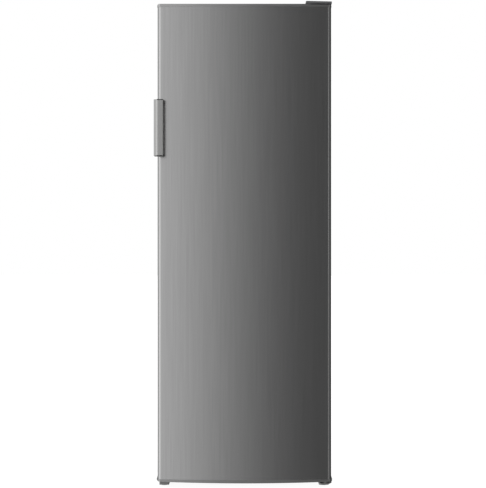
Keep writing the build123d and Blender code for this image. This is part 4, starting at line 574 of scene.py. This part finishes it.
def door_outline(sizes, fold):
    """Points round the door in plan, from one fold at its back over the bowed face to the other."""
    half, back, z = skin_high.x, skin_high.y, skin_low.z
    bow_radius = (half**2 + sizes.bow**2) / (2 * sizes.bow)
    bow_y = skin_low.y + bow_radius
    corner_x = half - sizes.corner
    swing = asin(corner_x / (bow_radius - sizes.corner))
    corner_y = bow_y - (bow_radius - sizes.corner) * cos(swing)
    front, bend = 1.5 * pi, pi / 2 - swing
    left = arc(-corner_x, corner_y, z, sizes.corner, pi, bend, CORNER_STEPS)
    bow = arc(0, bow_y, z, bow_radius, front - swing, 2 * swing, BOW_STEPS)
    right = arc(corner_x, corner_y, z, sizes.corner, front + swing, bend, CORNER_STEPS)
    ends = [(-half + fold, back, z), (-half, back, z), (half, back, z), (half - fold, back, z)]
    return [*ends[:2], *left[:-1], *bow, *right[1:], *ends[2:]]


class ModelDoorSkin(bpy.types.Operator):
    """Bowed sheet of the door, bent round its sides and folded in at the back"""

    bl_idname = "refrigerator.door_skin"
    bl_label = "Door skin"

    def execute(self, context):
        sizes = context.scene.refrigerator_sizes
        fold, fold_round = 12 * MM, 1.5 * MM
        skin = draw("door_skin_sheet", door_outline(sizes, fold), close=False)
        work_on(skin)
        pick_all()
        push(0, 0, skin_high.z - skin_low.z)
        pick(
            "EDGE",
            lambda at, way: abs(way.z) > ALONG
            and at.y > skin_high.y - NEAR
            and abs(at.x) > skin_high.x - MM,
        )
        round_off(fold_round, 4)
        put_down()
        inward = any(f.center.y < skin_low.y + MM and f.normal.y > 0 for f in skin.data.polygons)
        shape_with(skin, "SOLIDIFY", thickness=sizes.sheet, offset=1 if inward else -1)
        work_on(skin)
        tidy_up()
        put_down()
        hand_over(skin, "door", "door_steel", "door_skin")
        return {"FINISHED"}


def hinge_recess():
    """The hollow in the door's top that clears the hinge's cover, falling away from the middle."""
    cap_low, cap_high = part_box("door_top_cap")
    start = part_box("hinge_cover")[0].x
    run, fall, spare = 18 * MM, 3 * MM, MM
    front = cap_low.y - spare
    points = (
        (start, front, cap_high.z),
        (start + run, front, cap_high.z - fall),
        (cap_high.x + spare, front, cap_high.z - fall),
        (cap_high.x + spare, front, cap_high.z + spare),
        (start, front, cap_high.z + spare),
    )
    return bar("hinge_recess", points, (0, cap_high.y - cap_low.y + 2 * spare, 0))


class ModelDoorCaps(bpy.types.Operator):
    """Upper and lower mouldings of the door, and the recess under the hinge cover"""

    bl_idname = "refrigerator.door_caps"
    bl_label = "Door caps"

    def execute(self, context):
        sizes = context.scene.refrigerator_sizes
        top = copy_of("door_top_cap", "door_top_cap_moulding")
        cut_away(top, hinge_recess())
        soften(top, sizes.edge, 3, angle=40)
        hand_over(top, "door", "cap_silver", "door_top_cap")
        dress("door_bottom_cap", "door", "cap_grey", sizes.edge, 3, "door_bottom_cap_moulding")
        return {"FINISHED"}


class ModelHandle(bpy.types.Operator):
    """Side-mounted handle: bent grip, dark end caps and sunk screws"""

    bl_idname = "refrigerator.handle"
    bl_label = "Handle"

    def execute(self, context):
        low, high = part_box("handle")
        side = -skin_high.x
        wall, flank = 7 * MM, 13 * MM
        face_round, lip_round, end_round = 1.6 * MM, 1.4 * MM, 0.35 * MM
        points = (
            (low.x, high.y),
            (low.x, low.y + flank),
            (side, low.y),
            (high.x, low.y),
            (high.x, low.y + wall),
            (side, low.y + wall),
            (side, high.y),
        )
        grip = bar("handle_grip", [(x, y, low.z) for x, y in points], (0, 0, high.z - low.z))
        work_on(grip)
        pick(
            "EDGE",
            lambda at, way: abs(way.z) > ALONG
            and (at.y < low.y + MM / 2 or abs(at.y - low.y - flank) < MM / 2),
        )
        round_off(face_round, 5)
        pick("EDGE", lambda at, way: abs(way.z) > ALONG and at.x > high.x - MM)
        round_off(lip_round, 4)
        put_down()
        cap_height = 3 * MM
        for z, start in ((low.z, low.x - MM), (high.z, side)):
            notch = block(
                "notch",
                (start, low.y - MM, z - cap_height),
                (high.x + MM, high.y + MM, z + cap_height),
            )
            cut_away(grip, notch)

        screw_low, screw_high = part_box("handle_screws")
        screw_y = screw_low.y / 2 + screw_high.y / 2
        head_radius = (screw_high.y - screw_low.y) / 2
        screw_heights = (screw_low.z + head_radius, screw_high.z - head_radius)
        well_gap, well_depth = 0.3 * MM, 5 * MM
        for z in screw_heights:
            well = drum("well", (low.x, screw_y, z), head_radius + well_gap, well_depth, "X", 32)
            cut_away(grip, well)
        soften(grip, end_round, angle=50)
        hand_over(grip, "door", "handle_metal", "handle")
        # The grip's inner faces get the light grey as painted light, to lift the shade in the gap
        # behind the grip
        paint_faces(
            grip,
            "grip_inside_painted_light",
            lambda at, way: at.x > side - NEAR and (way.y > 0.5 or abs(way.x) > ALONG),
        )
        dress("handle_end_caps", "door", "black_plastic", 0.5 * MM, name="handle_caps")

        heads = copy_of("handle_screws", "handle_screw_pair")
        slot_long, slot_wide, slot_depth = 2.6 * MM, 0.5 * MM, 1.2 * MM
        for z in screw_heights:
            for across, up in ((slot_long, slot_wide), (slot_wide, slot_long)):
                slot = block(
                    "slot",
                    (screw_low.x - MM, screw_y - across, z - up),
                    (screw_low.x + slot_depth, screw_y + across, z + up),
                )
                cut_away(heads, slot)
        hand_over(heads, "door", "plated_steel", "handle_screws")
        return {"FINISHED"}


class ModelHingeCover(bpy.types.Operator):
    """Dark cap over the upper hinge, and the plates and pins of both hinges"""

    bl_idname = "refrigerator.hinge_cover"
    bl_label = "Hinge cover"

    def execute(self, context):
        sizes = context.scene.refrigerator_sizes
        dress("hinge_cover", "cabinet", "cover_grey", sizes.edge, 3, "hinge_cap")
        for part, finish, width in (
            # The upper hinge plate, seen only in the gap under the hinge cover, is given the cover's
            # dark grey as painted shade that stands in for the cover's shadow in that gap
            ("top_hinge_plate", "cover_grey", 0.4 * MM),
            ("corner_plates", "cap_grey", 0.4 * MM),
            ("foot_blocks", "cap_grey", 0.8 * MM),
            ("bottom_hinge_pin", "plated_steel", 0.3 * MM),
            ("top_hinge_pin", "plated_steel", 0.3 * MM),
        ):
            dress(part, "cabinet", finish, width)
        return {"FINISHED"}


def corners_of(piece):
    """Lowest and highest corner of a piece's mesh."""
    places = [v.co for v in piece.data.vertices]
    low = Vector(min(p[i] for p in places) for i in range(3))
    high = Vector(max(p[i] for p in places) for i in range(3))
    return low, high


def thicken_rim(piece, drop, swell):
    """Cuts the piece a little below its rim and swells the faces above the cut that look inwards."""
    low, high = corners_of(piece)
    middle = (low + high) / 2
    steep = 0.2
    work_on(piece)
    bpy.ops.mesh.select_mode(type="FACE")
    pick_all()
    bpy.ops.mesh.bisect(plane_co=(0, 0, high.z - drop), plane_no=(0, 0, 1))
    pick(
        "FACE",
        lambda at, way: abs(way.z) < steep and at.z > high.z - drop and way.dot(middle - at) > 0,
    )
    bpy.ops.mesh.extrude_region_shrink_fatten(TRANSFORM_OT_shrink_fatten={"value": swell})
    put_down()


def dress_tray(part, name, body, finish, drop, swell, width):
    """Lets a copy of an open tray, its rim thickened and its edges rounded, stand for the node."""
    tray = copy_of(part, name)
    thicken_rim(tray, drop, swell)
    soften(tray, width)
    return hand_over(tray, body, finish, part)


def pressed_rib(name, low, high, width):
    """A long raised rib whose edges are rounded over."""
    rib = block(name, low, high)
    work_on(rib)
    pick("EDGE", lambda at, way: at.y > high[1] - NEAR or abs(way.y) > ALONG)
    round_off(width, 3)
    put_down()
    return rib


def pan_screw(name, centre, radius, rise):
    """A screw that faces backwards, its head raised in the middle and dished."""
    head = drum(name, centre, radius, rise, "Y", 24)
    work_on(head)
    face = centre[1] + rise / 2
    pick("FACE", lambda at, way: way.y > ALONG and abs(at.y - face) < NEAR)
    bpy.ops.mesh.inset(thickness=radius * 0.3, depth=rise * 0.3)
    bpy.ops.mesh.inset(thickness=radius * 0.35, depth=-rise * 0.5)
    put_down()
    return head


def seal_side(at, low, high):
    """Above nought on the seal's outer faces and below it on the inner ones."""
    nearest = min(at.x - low.x, high.x - at.x, at.z - low.z, high.z - at.z)
    return 1 if nearest < NEAR else -1


class ModelDoorInside(bpy.types.Operator):
    """Door liner, the raised dyke that carries the racks, and the bellows of the seal"""

    bl_idname = "refrigerator.door_inside"
    bl_label = "Door inside"

    def execute(self, context):
        dress("door_liner", "door", "inner_white", 0.5 * MM)
        dress("door_dyke", "door", "inner_white", 2.4 * MM, 3)

        low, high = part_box("door_gasket")
        band, lip, side_groove, back_groove = 15 * MM, 2.6 * MM, 1.8 * MM, 0.9 * MM
        seal = block("door_seal", low, high)
        work_on(seal)
        pick("FACE", lambda at, way: abs(way.y) > ALONG)
        bpy.ops.mesh.inset(thickness=band, use_individual=True)
        bpy.ops.mesh.bridge_edge_loops()
        for facing in (1, -1):
            pick("FACE", lambda at, way: abs(way.y) < ACROSS and seal_side(at, low, high) * facing > 0)
            bpy.ops.mesh.inset(thickness=lip, depth=-side_groove)
        pick("FACE", lambda at, way: way.y > ALONG and at.y > high.y - NEAR)
        bpy.ops.mesh.inset(thickness=lip, depth=-back_groove)
        put_down()
        soften(seal, 0.6 * MM, angle=50)
        hand_over(seal, "door", "seal_grey", "door_gasket")
        return {"FINISHED"}


class ModelDoorRacks(bpy.types.Operator):
    """Door racks, the bottle rack and the bottle holder that slides in it"""

    bl_idname = "refrigerator.door_racks"
    bl_label = "Door racks"

    def execute(self, context):
        sizes = context.scene.refrigerator_sizes
        rim_height = 5 * MM
        for part in ("door_rack_1", "door_rack_2", "door_rack_3", "bottle_rack"):
            dress_tray(part, part + "_tray", "door", "clear_plastic", rim_height, sizes.rim, sizes.edge)
        dress("bottle_holder", "bottle_holder", "moulded_white", sizes.edge)
        return {"FINISHED"}


class ModelDairyBox(bpy.types.Operator):
    """Dairy box with its hinged clear lid"""

    bl_idname = "refrigerator.dairy_box"
    bl_label = "Dairy box"

    def execute(self, context):
        sizes = context.scene.refrigerator_sizes
        dress("dairy_box", "door", "moulded_white", sizes.edge)
        dress("dairy_lid", "dairy_lid", "clear_plastic", sizes.edge)
        return {"FINISHED"}


class ModelCabinetSheet(bpy.types.Operator):
    """Painted wrap of the cabinet with its folded edges, the front rail and the base pan"""

    bl_idname = "refrigerator.cabinet_sheet"
    bl_label = "Cabinet sheet"

    def execute(self, context):
        dress("cabinet_wrap", "cabinet", "wall_paint", 0.35 * MM)
        dress("front_rail", "cabinet", "wall_paint", 0.7 * MM)
        pan = dress("base_pan", "cabinet", "zinc", 0.4 * MM)
        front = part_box("base_pan")[0].y
        paint_faces(pan, "wall_paint", lambda at, way: at.y < front + MM)
        return {"FINISHED"}


class ModelBackPanel(bpy.types.Operator):
    """Back panel with its pressed ribs and the screws round its edge"""

    bl_idname = "refrigerator.back_panel"
    bl_label = "Back panel"

    def execute(self, context):
        low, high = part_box("back_panel")
        face, rise = high.y, context.scene.refrigerator_sizes.rib_rise
        inset, half = 26 * MM, 9 * MM / 2
        left, right, foot, top = low.x + inset, high.x - inset, low.z + inset, high.z - inset
        upright_gap, cross_gap, cross_drops = 40 * MM, 60 * MM, (20 * MM, 120 * MM, 220 * MM)
        panel = copy_of("back_panel", "back_sheet_panel")
        spans = [
            ("upright_rib", x - half, x + half, foot + upright_gap, top - upright_gap)
            for x in (left, right)
        ]
        spans += [
            ("cross_rib", left + cross_gap, right - cross_gap, top - drop - half, top - drop + half)
            for drop in cross_drops
        ]
        ribs = [
            pressed_rib(name, (x_low, face - MM / 2, z_low), (x_high, face + rise, z_high), rise * 0.7)
            for name, x_low, x_high, z_low, z_high in spans
        ]
        hand_over(join([panel, *ribs], "back_sheet_panel"), "cabinet", "back_sheet", "back_panel")

        border, end, rows = 8 * MM, 30 * MM, 6
        head_radius, head_rise = 4 * MM, 1.8 * MM
        places = [
            (x, low.z + end + (high.z - low.z - 2 * end) * i / (rows - 1))
            for x in (low.x + border, high.x - border)
            for i in range(rows)
        ]
        places += [(x, high.z - border) for x in (low.x / 2, 0, high.x / 2)]
        heads = [
            pan_screw("back_screw", (x, face + head_rise / 2, z), head_radius, head_rise)
            for x, z in places
        ]
        hand_over(join(heads, "back_screws"), "cabinet", "plated_steel")
        return {"FINISHED"}


class ModelColdSpace(bpy.types.Operator):
    """Liner of the cold space with soft corners and shelf ribs"""

    bl_idname = "refrigerator.cold_space"
    bl_label = "Cold space"

    def execute(self, context):
        sizes = context.scene.refrigerator_sizes
        dress("cabinet_liner", "cabinet", "inner_white", sizes.liner_round, 3)
        return {"FINISHED"}


class ModelShelves(bpy.types.Operator):
    """Glass shelves, the crisper cover and their trims"""

    bl_idname = "refrigerator.shelves"
    bl_label = "Shelves"

    def execute(self, context):
        dress("shelf_glass", "cabinet", "shelf_glass", 0.6 * MM)
        dress("crisper_cover", "cabinet", "shelf_glass", 0.6 * MM)
        dress("shelf_trims", "cabinet", "moulded_white", 1.8 * MM, 3)
        return {"FINISHED"}


class ModelCrispers(bpy.types.Operator):
    """The two drawers under the lowest shelf"""

    bl_idname = "refrigerator.crispers"
    bl_label = "Crispers"

    def execute(self, context):
        for part in ("left_crisper", "right_crisper"):
            dress(part, part, "clear_plastic", 1.2 * MM, 3, part + "_drawer", angle=35)
        return {"FINISHED"}


class ModelControls(bpy.types.Operator):
    """Control housing, lamp and its window, thermostat and door switch"""

    bl_idname = "refrigerator.controls"
    bl_label = "Controls"

    def execute(self, context):
        for part, body, finish, width in (
            ("control_housing", "cabinet", "moulded_white", 1.6 * MM),
            ("lamp_cover", "cabinet", "frosted_plastic", 0.6 * MM),
            ("lamp", "cabinet", "frosted_plastic", 0.3 * MM),
            ("thermostat", "cabinet", "black_plastic", 0.5 * MM),
            ("switch_housing", "cabinet", "moulded_white", 1.0 * MM),
            ("switch_plunger", "switch_plunger", "moulded_white", 0.7 * MM),
        ):
            piece = dress(part, body, finish, width, 3)
            if part == "lamp":
                socket_length = 18 * MM
                socket_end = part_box("lamp")[0].x + socket_length
                paint_faces(piece, "black_plastic", lambda at, way: at.x < socket_end + NEAR)
        return {"FINISHED"}


class ModelKnob(bpy.types.Operator):
    """Thermostat knob with a ribbed rim, a raised grip and a pointer, and the numbers round it"""

    bl_idname = "refrigerator.knob"
    bl_label = "Thermostat knob"

    def execute(self, context):
        low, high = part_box("thermostat_knob")
        centre = (low + high) / 2
        radius = (high.x - low.x) / 2
        rib, sides = 0.6 * MM, 72
        grip_rise, grip_half, grip_inset, grip_sunk = 5 * MM, 3 * MM, 2.4 * MM, 1.5 * MM
        face_y = low.y + grip_rise
        disc_centre = (centre.x, (face_y + high.y) / 2, centre.z)
        disc = drum("knob", disc_centre, radius - rib, high.y - face_y, "Y", sides)
        work_on(disc)
        pick(
            "FACE",
            lambda at, way: abs(way.y) < ACROSS
            and round(atan2(at.x - centre.x, at.z - centre.z) / (2 * pi) * sides - 0.5) % 2 == 0,
        )
        bpy.ops.mesh.extrude_faces_move(TRANSFORM_OT_shrink_fatten={"value": rib})
        pick("FACE", lambda at, way: way.y < -ALONG and (at - centre).xz.length < MM)
        bpy.ops.mesh.inset(thickness=1.2 * MM, depth=0.6 * MM)
        bpy.ops.mesh.inset(thickness=1.6 * MM, depth=-1.0 * MM)
        put_down()
        grip = block(
            "knob_bar",
            (centre.x - grip_half, low.y, centre.z - radius + grip_inset),
            (centre.x + grip_half, face_y + grip_sunk, centre.z + radius - grip_inset),
        )
        work_on(grip)
        pick("EDGE", lambda at, way: abs(way.y) > ALONG)
        round_off(2.6 * MM, 5)
        pick("FACE", lambda at, way: way.y < -ALONG)
        bpy.ops.mesh.inset(thickness=0.8 * MM, depth=0.4 * MM)
        put_down()
        hand_over(join([disc, grip], "knob"), "thermostat_knob", "knob_grey", "thermostat_knob")

        line_half, line_start, line_end = 0.6 * MM, 9 * MM, 4.4 * MM
        line_rise, line_sunk = 0.45 * MM, 0.1 * MM
        pointer = block(
            "knob_pointer",
            (centre.x - line_half, low.y - line_rise, centre.z + radius - line_start),
            (centre.x + line_half, low.y + line_sunk, centre.z + radius - line_end),
        )
        soften(pointer, 0.2 * MM)
        hand_over(pointer, "thermostat_knob", "printed_marks", slot="thermostat_knob")

        marks = []
        housing_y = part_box("control_housing")[0].y
        number_size, number_rise, number_gap = 6.5 * MM, 0.08 * MM, 6.5 * MM
        reach = radius + number_gap
        dial_angles = (-122, -90, -58, 58, 90, 122)
        for i, turn in enumerate(map(radians, dial_angles)):
            x, z = centre.x + reach * sin(turn), centre.z + reach * cos(turn)
            put_down()
            bpy.ops.object.text_add(location=(x, housing_y - number_rise, z), rotation=(pi / 2, 0, 0))
            text = context.object.data
            text.body = str(i + 1)
            text.size = number_size
            text.align_x = text.align_y = "CENTER"
            text.extrude = number_rise
            bpy.ops.object.convert(target="MESH")
            number = context.object
            number.name = "dial_number"
            settle(number)
            marks.append(number)
        hand_over(join(marks, "dial_numbers"), "cabinet", "printed_marks", slot="control_housing")
        return {"FINISHED"}


class ModelFeet(bpy.types.Operator):
    """Levelling feet: a pad turned with its threaded stem"""

    bl_idname = "refrigerator.feet"
    bl_label = "Levelling feet"

    def execute(self, context):
        low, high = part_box("left_foot")
        centre = (low + high) / 2
        height = high.z - low.z
        pad, pad_height, pad_round = (high.x - low.x) / 2, 4 * MM, 0.8 * MM
        stem, root, pitch, neck, tip = 5 * MM, 4.3 * MM, 1.6 * MM, 1.5 * MM, 0.5 * MM
        start, bare = pad_height + 2 * MM, pad_height + 3 * MM
        turns = int((height - bare) / pitch)
        profile = [
            (0, 0),
            (pad - pad_round, 0),
            (pad, pad_round),
            (pad, pad_height - pad_round),
            (pad - pad_round, pad_height),
            (stem + neck, pad_height),
            (stem, pad_height + neck),
        ]
        for i in range(turns):
            profile += [(stem, start + pitch * i), (root, start + pitch * (i + 0.5))]
        profile += [(root, height - tip), (root - tip, height), (0, height)]
        line = [(centre.x + r, centre.y, low.z + z) for r, z in profile]
        foot = draw("left_foot_screw", line, close=False)
        work_on(foot)
        pick_all()
        bpy.ops.mesh.spin(steps=32, angle=2 * pi, center=centre, axis=(0, 0, 1))
        tidy_up(1e-5)
        put_down()
        other_low, other_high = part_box("right_foot")
        other = again(foot, "right_foot_screw", (other_low.x + other_high.x) / 2 - centre.x)
        for piece, part in ((foot, "left_foot"), (other, "right_foot")):
            hand_over(piece, part, "plated_steel", part)
            paint_faces(piece, "black_rubber", lambda at, way: at.z < low.z + pad_height + NEAR)
        return {"FINISHED"}


class ModelRollers(bpy.types.Operator):
    """Rear rollers, their brackets and the carrier plate of the compressor"""

    bl_idname = "refrigerator.rollers"
    bl_label = "Rollers"

    def execute(self, context):
        for part, body, finish, width in (
            ("left_roller", "left_roller", "black_plastic", 1.4 * MM),
            ("right_roller", "right_roller", "black_plastic", 1.4 * MM),
            ("roller_brackets", "cabinet", "zinc", 0.4 * MM),
            ("carrier_plate", "cabinet", "zinc", 0.6 * MM),
        ):
            dress(part, body, finish, width)
        return {"FINISHED"}


class ModelCompressor(bpy.types.Operator):
    """Compressor on its grommets, with the relay box and the evaporating tray"""

    bl_idname = "refrigerator.compressor"
    bl_label = "Compressor"

    def execute(self, context):
        for part, finish, width in (
            ("compressor", "black_enamel", 1.6 * MM),
            ("compressor_grommets", "black_rubber", 1.0 * MM),
            ("relay_box", "black_plastic", 1.2 * MM),
        ):
            dress(part, "cabinet", finish, width, 3)
        rim_height, rim, edge = 3 * MM, 1.2 * MM, 0.8 * MM
        tray = "evaporating_tray"
        dress_tray(tray, tray + "_piece", "cabinet", "tray_grey", rim_height, rim, edge)
        return {"FINISHED"}


# Stage

FLOOR_SIZE = 60
FLOOR_DROP = 0.5 * MM
FLOOR_COLOUR = (0.2, 0.2, 0.2, 1)
FLOOR_GLOW = 0.94
FLOOR_ROUGHNESS = 0.9
LAMP_SIZE = 2.4
LAMP_POWER = 22
LAMP_PLACE = (-2.2, -3.0, 3.6)
LAMP_TURN = (radians(42), 0, radians(-36))
CAMERA_PLACE = (-0.0048, -4.803, 0.837)
CAMERA_LENS = 97.07
CAMERA_SENSOR = 36

# The room that metal mirrors: sideways direction from left to right, and how bright it is there
ROOM = (
    (-1.0, 1.10), (-0.85, 1.20), (-0.6, 0.92), (-0.42, 0.78), (-0.29, 0.74),
    (-0.2, 0.60), (-0.1, 0.375), (0.0, 0.22), (0.1, 0.115), (0.2, 0.043),
    (0.3, 0.005), (0.38, 0.02), (0.5, 0.28), (0.65, 0.38), (0.8, 0.30),
    (0.9, 0.10), (1.0, 0.01),
)
ROOM_PEAK = 1.25
# Directions over which the front gives way to the back, that to the rear, and all to the ground
FRONT_TO_BACK = (-0.35, 0.05)
BACK_TO_REAR = (0.55, 0.8)
DOWN_TO_GROUND = (-0.3, -0.75)
# The back's fall from left to right: its two directions and the brightness at each
BACK_FALL = (-0.2, 0.35, 0.55, 0.02)
ROOM_REAR = (0.22, 0.22, 0.22, 1)
ROOM_GROUND = (0.28, 0.28, 0.28, 1)
WHITE = (1, 1, 1, 1)


def mix(holder, share, first, second):
    """Goes over from the first shader to the second by a share."""
    blend = node(holder, "ShaderNodeMixShader")
    for source, place in zip((share, first, second), blend.inputs):
        wire(holder, source, place)
    return blend.outputs[0]


def ray_kinds(holder):
    """What the camera sees straight or through glass, and what metal mirrors."""
    path = node(holder, "ShaderNodeLightPath")
    seen = reckon(holder, "MAXIMUM", path.outputs["Is Camera Ray"], path.outputs["Is Transmission Ray"])
    return seen, path.outputs["Is Glossy Ray"]


def lay_floor():
    """White floor that keeps the shadow and leaves the room in the metal's mirror."""
    put_down()
    bpy.ops.mesh.primitive_plane_add(size=FLOOR_SIZE, location=(0, 0, -FLOOR_DROP))
    floor = bpy.context.object
    floor.name = "floor"
    cloth = bpy.data.materials.new("floor_white")
    cloth.use_nodes = True
    shader = fill(shader_of(cloth), Base_Color=FLOOR_COLOUR, Roughness=FLOOR_ROUGHNESS)
    glow = node(cloth, "ShaderNodeEmission", Strength=FLOOR_GLOW)
    lifted = node(cloth, "ShaderNodeAddShader")
    wire(cloth, shader.outputs[0], lifted.inputs[0])
    wire(cloth, glow.outputs[0], lifted.inputs[1])
    clear = node(cloth, "ShaderNodeBsdfTransparent")
    seen, glossy = ray_kinds(cloth)
    direct = mix(cloth, seen, shader.outputs[0], lifted.outputs[0])
    surface = mix(cloth, glossy, direct, clear.outputs[0])
    wire(cloth, surface, cloth.node_tree.nodes["Material Output"].inputs["Surface"])
    floor.data.materials.append(cloth)


def light_room(scene):
    """Even white light, and a soft gradient from left to right for the metal to mirror."""
    world = bpy.data.worlds.new("room")
    scene.world = world
    world.use_nodes = True
    world.node_tree.nodes.clear()
    place = node(world, "ShaderNodeTexCoord")
    way = node(world, "ShaderNodeSeparateXYZ")
    wire(world, place.outputs["Generated"], way.inputs[0])
    side, depth, height = way.outputs

    ramp = node(world, "ShaderNodeValToRGB")
    stops = ramp.color_ramp.elements
    ramp.color_ramp.interpolation = "B_SPLINE"
    while len(stops) < len(ROOM):
        stops.new(0.5)
    for stop, (direction, brightness) in zip(stops, ROOM):
        stop.position = (direction + 1) / 2
        grey = brightness / ROOM_PEAK
        stop.color = (grey, grey, grey, 1)
    wire(world, fade(world, side, -1, 1), ramp.inputs["Fac"])
    front = node(world, "ShaderNodeBackground", Strength=ROOM_PEAK)
    wire(world, ramp.outputs["Color"], front.inputs["Color"])

    back = node(world, "ShaderNodeBackground")
    wire(world, fade(world, side, *BACK_FALL), back.inputs["Color"])
    rear = node(world, "ShaderNodeBackground", Color=ROOM_REAR)
    ground = node(world, "ShaderNodeBackground", Color=ROOM_GROUND)
    around = mix(world, fade(world, depth, *FRONT_TO_BACK), front.outputs[0], back.outputs[0])
    around = mix(world, fade(world, depth, *BACK_TO_REAR), around, rear.outputs[0])
    mirrored = mix(world, fade(world, height, *DOWN_TO_GROUND), around, ground.outputs[0])

    white = node(world, "ShaderNodeBackground", Color=WHITE)
    seen, glossy = ray_kinds(world)
    lit = mix(world, glossy, white.outputs[0], mirrored)
    output = node(world, "ShaderNodeOutputWorld")
    wire(world, mix(world, seen, lit, white.outputs[0]), output.inputs["Surface"])


def hang_lamp(scene):
    """One large soft lamp, up on the left."""
    data = bpy.data.lights.new("soft_lamp", "AREA")
    data.shape = "RECTANGLE"
    data.size = data.size_y = LAMP_SIZE
    data.energy = LAMP_POWER
    lamp = bpy.data.objects.new("soft_lamp", data)
    lamp.location = LAMP_PLACE
    lamp.rotation_euler = LAMP_TURN
    lamp.visible_glossy = False
    scene.collection.objects.link(lamp)


def set_camera(scene):
    """Level camera in front of the door, at half height."""
    data = bpy.data.cameras.new("camera")
    data.lens = CAMERA_LENS
    data.sensor_width = CAMERA_SENSOR
    camera = bpy.data.objects.new("camera", data)
    camera.location = CAMERA_PLACE
    camera.rotation_euler = (pi / 2, 0, 0)
    scene.collection.objects.link(camera)
    scene.camera = camera


class SetStage(bpy.types.Operator):
    """Plain floor, even light and the camera"""

    bl_idname = "refrigerator.stage"
    bl_label = "Stage"

    def execute(self, context):
        lay_floor()
        light_room(context.scene)
        hang_lamp(context.scene)
        set_camera(context.scene)
        context.scene.view_settings.view_transform = "Standard"
        return {"FINISHED"}


# The frame pieces that are shown as they are, by finish
shown_nodes = {
    "wall_foam": ("door_foam", "cabinet_foam"),
    "zinc": ("handle_backing_plate",),
    "moulded_white": ("hinge_bushes", "drain"),
    "plated_steel": ("top_hinge_screws",),
    "black_enamel": ("condenser",),
    "black_plastic": ("condenser_clips",),
    "copper_tube": ("filter_drier", "refrigerant_lines"),
    "cold_plate": ("evaporator",),
}


class FinishFrame(bpy.types.Operator):
    """Gives its finish to every frame piece that is shown as it is"""

    bl_idname = "refrigerator.frame_finishes"
    bl_label = "Frame finishes"

    def execute(self, context):
        for finish, names in shown_nodes.items():
            for name in names:
                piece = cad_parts[name]
                piece.data.materials.clear()
                piece.data.materials.append(finishes[finish])
        return {"FINISHED"}


class RefrigeratorPanel(bpy.types.Panel):
    """Lists the sizes, the colours and the pieces"""

    bl_idname = "VIEW3D_PT_refrigerator"
    bl_label = "Refrigerator"
    bl_space_type = "VIEW_3D"
    bl_region_type = "UI"
    bl_category = "Refrigerator"

    def draw(self, context):
        layout, scene = self.layout, context.scene
        groups = (("Sizes", scene.refrigerator_sizes), ("Colours", scene.refrigerator_colours))
        for title, group in groups:
            box = layout.box()
            box.label(text=title)
            for key in group.bl_rna.properties.keys():
                if key not in ("rna_type", "name"):
                    box.prop(group, key)
        box = layout.box()
        box.label(text="Pieces")
        for operator in operators:
            box.operator(operator.bl_idname)


operators = (
    ModelDoorSkin,
    ModelDoorCaps,
    ModelHandle,
    ModelHingeCover,
    ModelDoorInside,
    ModelDoorRacks,
    ModelDairyBox,
    ModelCabinetSheet,
    ModelBackPanel,
    ModelColdSpace,
    ModelShelves,
    ModelCrispers,
    ModelControls,
    ModelKnob,
    ModelFeet,
    ModelRollers,
    ModelCompressor,
    FinishFrame,
    SetStage,
)
classes = (RefrigeratorSizes, RefrigeratorColours, *operators, RefrigeratorPanel)


def register():
    for item in classes:
        bpy.utils.register_class(item)
    bpy.types.Scene.refrigerator_sizes = bpy.props.PointerProperty(type=RefrigeratorSizes)
    bpy.types.Scene.refrigerator_colours = bpy.props.PointerProperty(type=RefrigeratorColours)


def unregister():
    del bpy.types.Scene.refrigerator_colours
    del bpy.types.Scene.refrigerator_sizes
    for item in reversed(classes):
        bpy.utils.unregister_class(item)


def main():
    """Builds the refrigerator and its stage."""
    register()
    make_finishes(bpy.context.scene.refrigerator_colours)
    for operator in operators:
        group, name = operator.bl_idname.split(".")
        getattr(getattr(bpy.ops, group), name)()


if __name__ == "__main__":
    main()
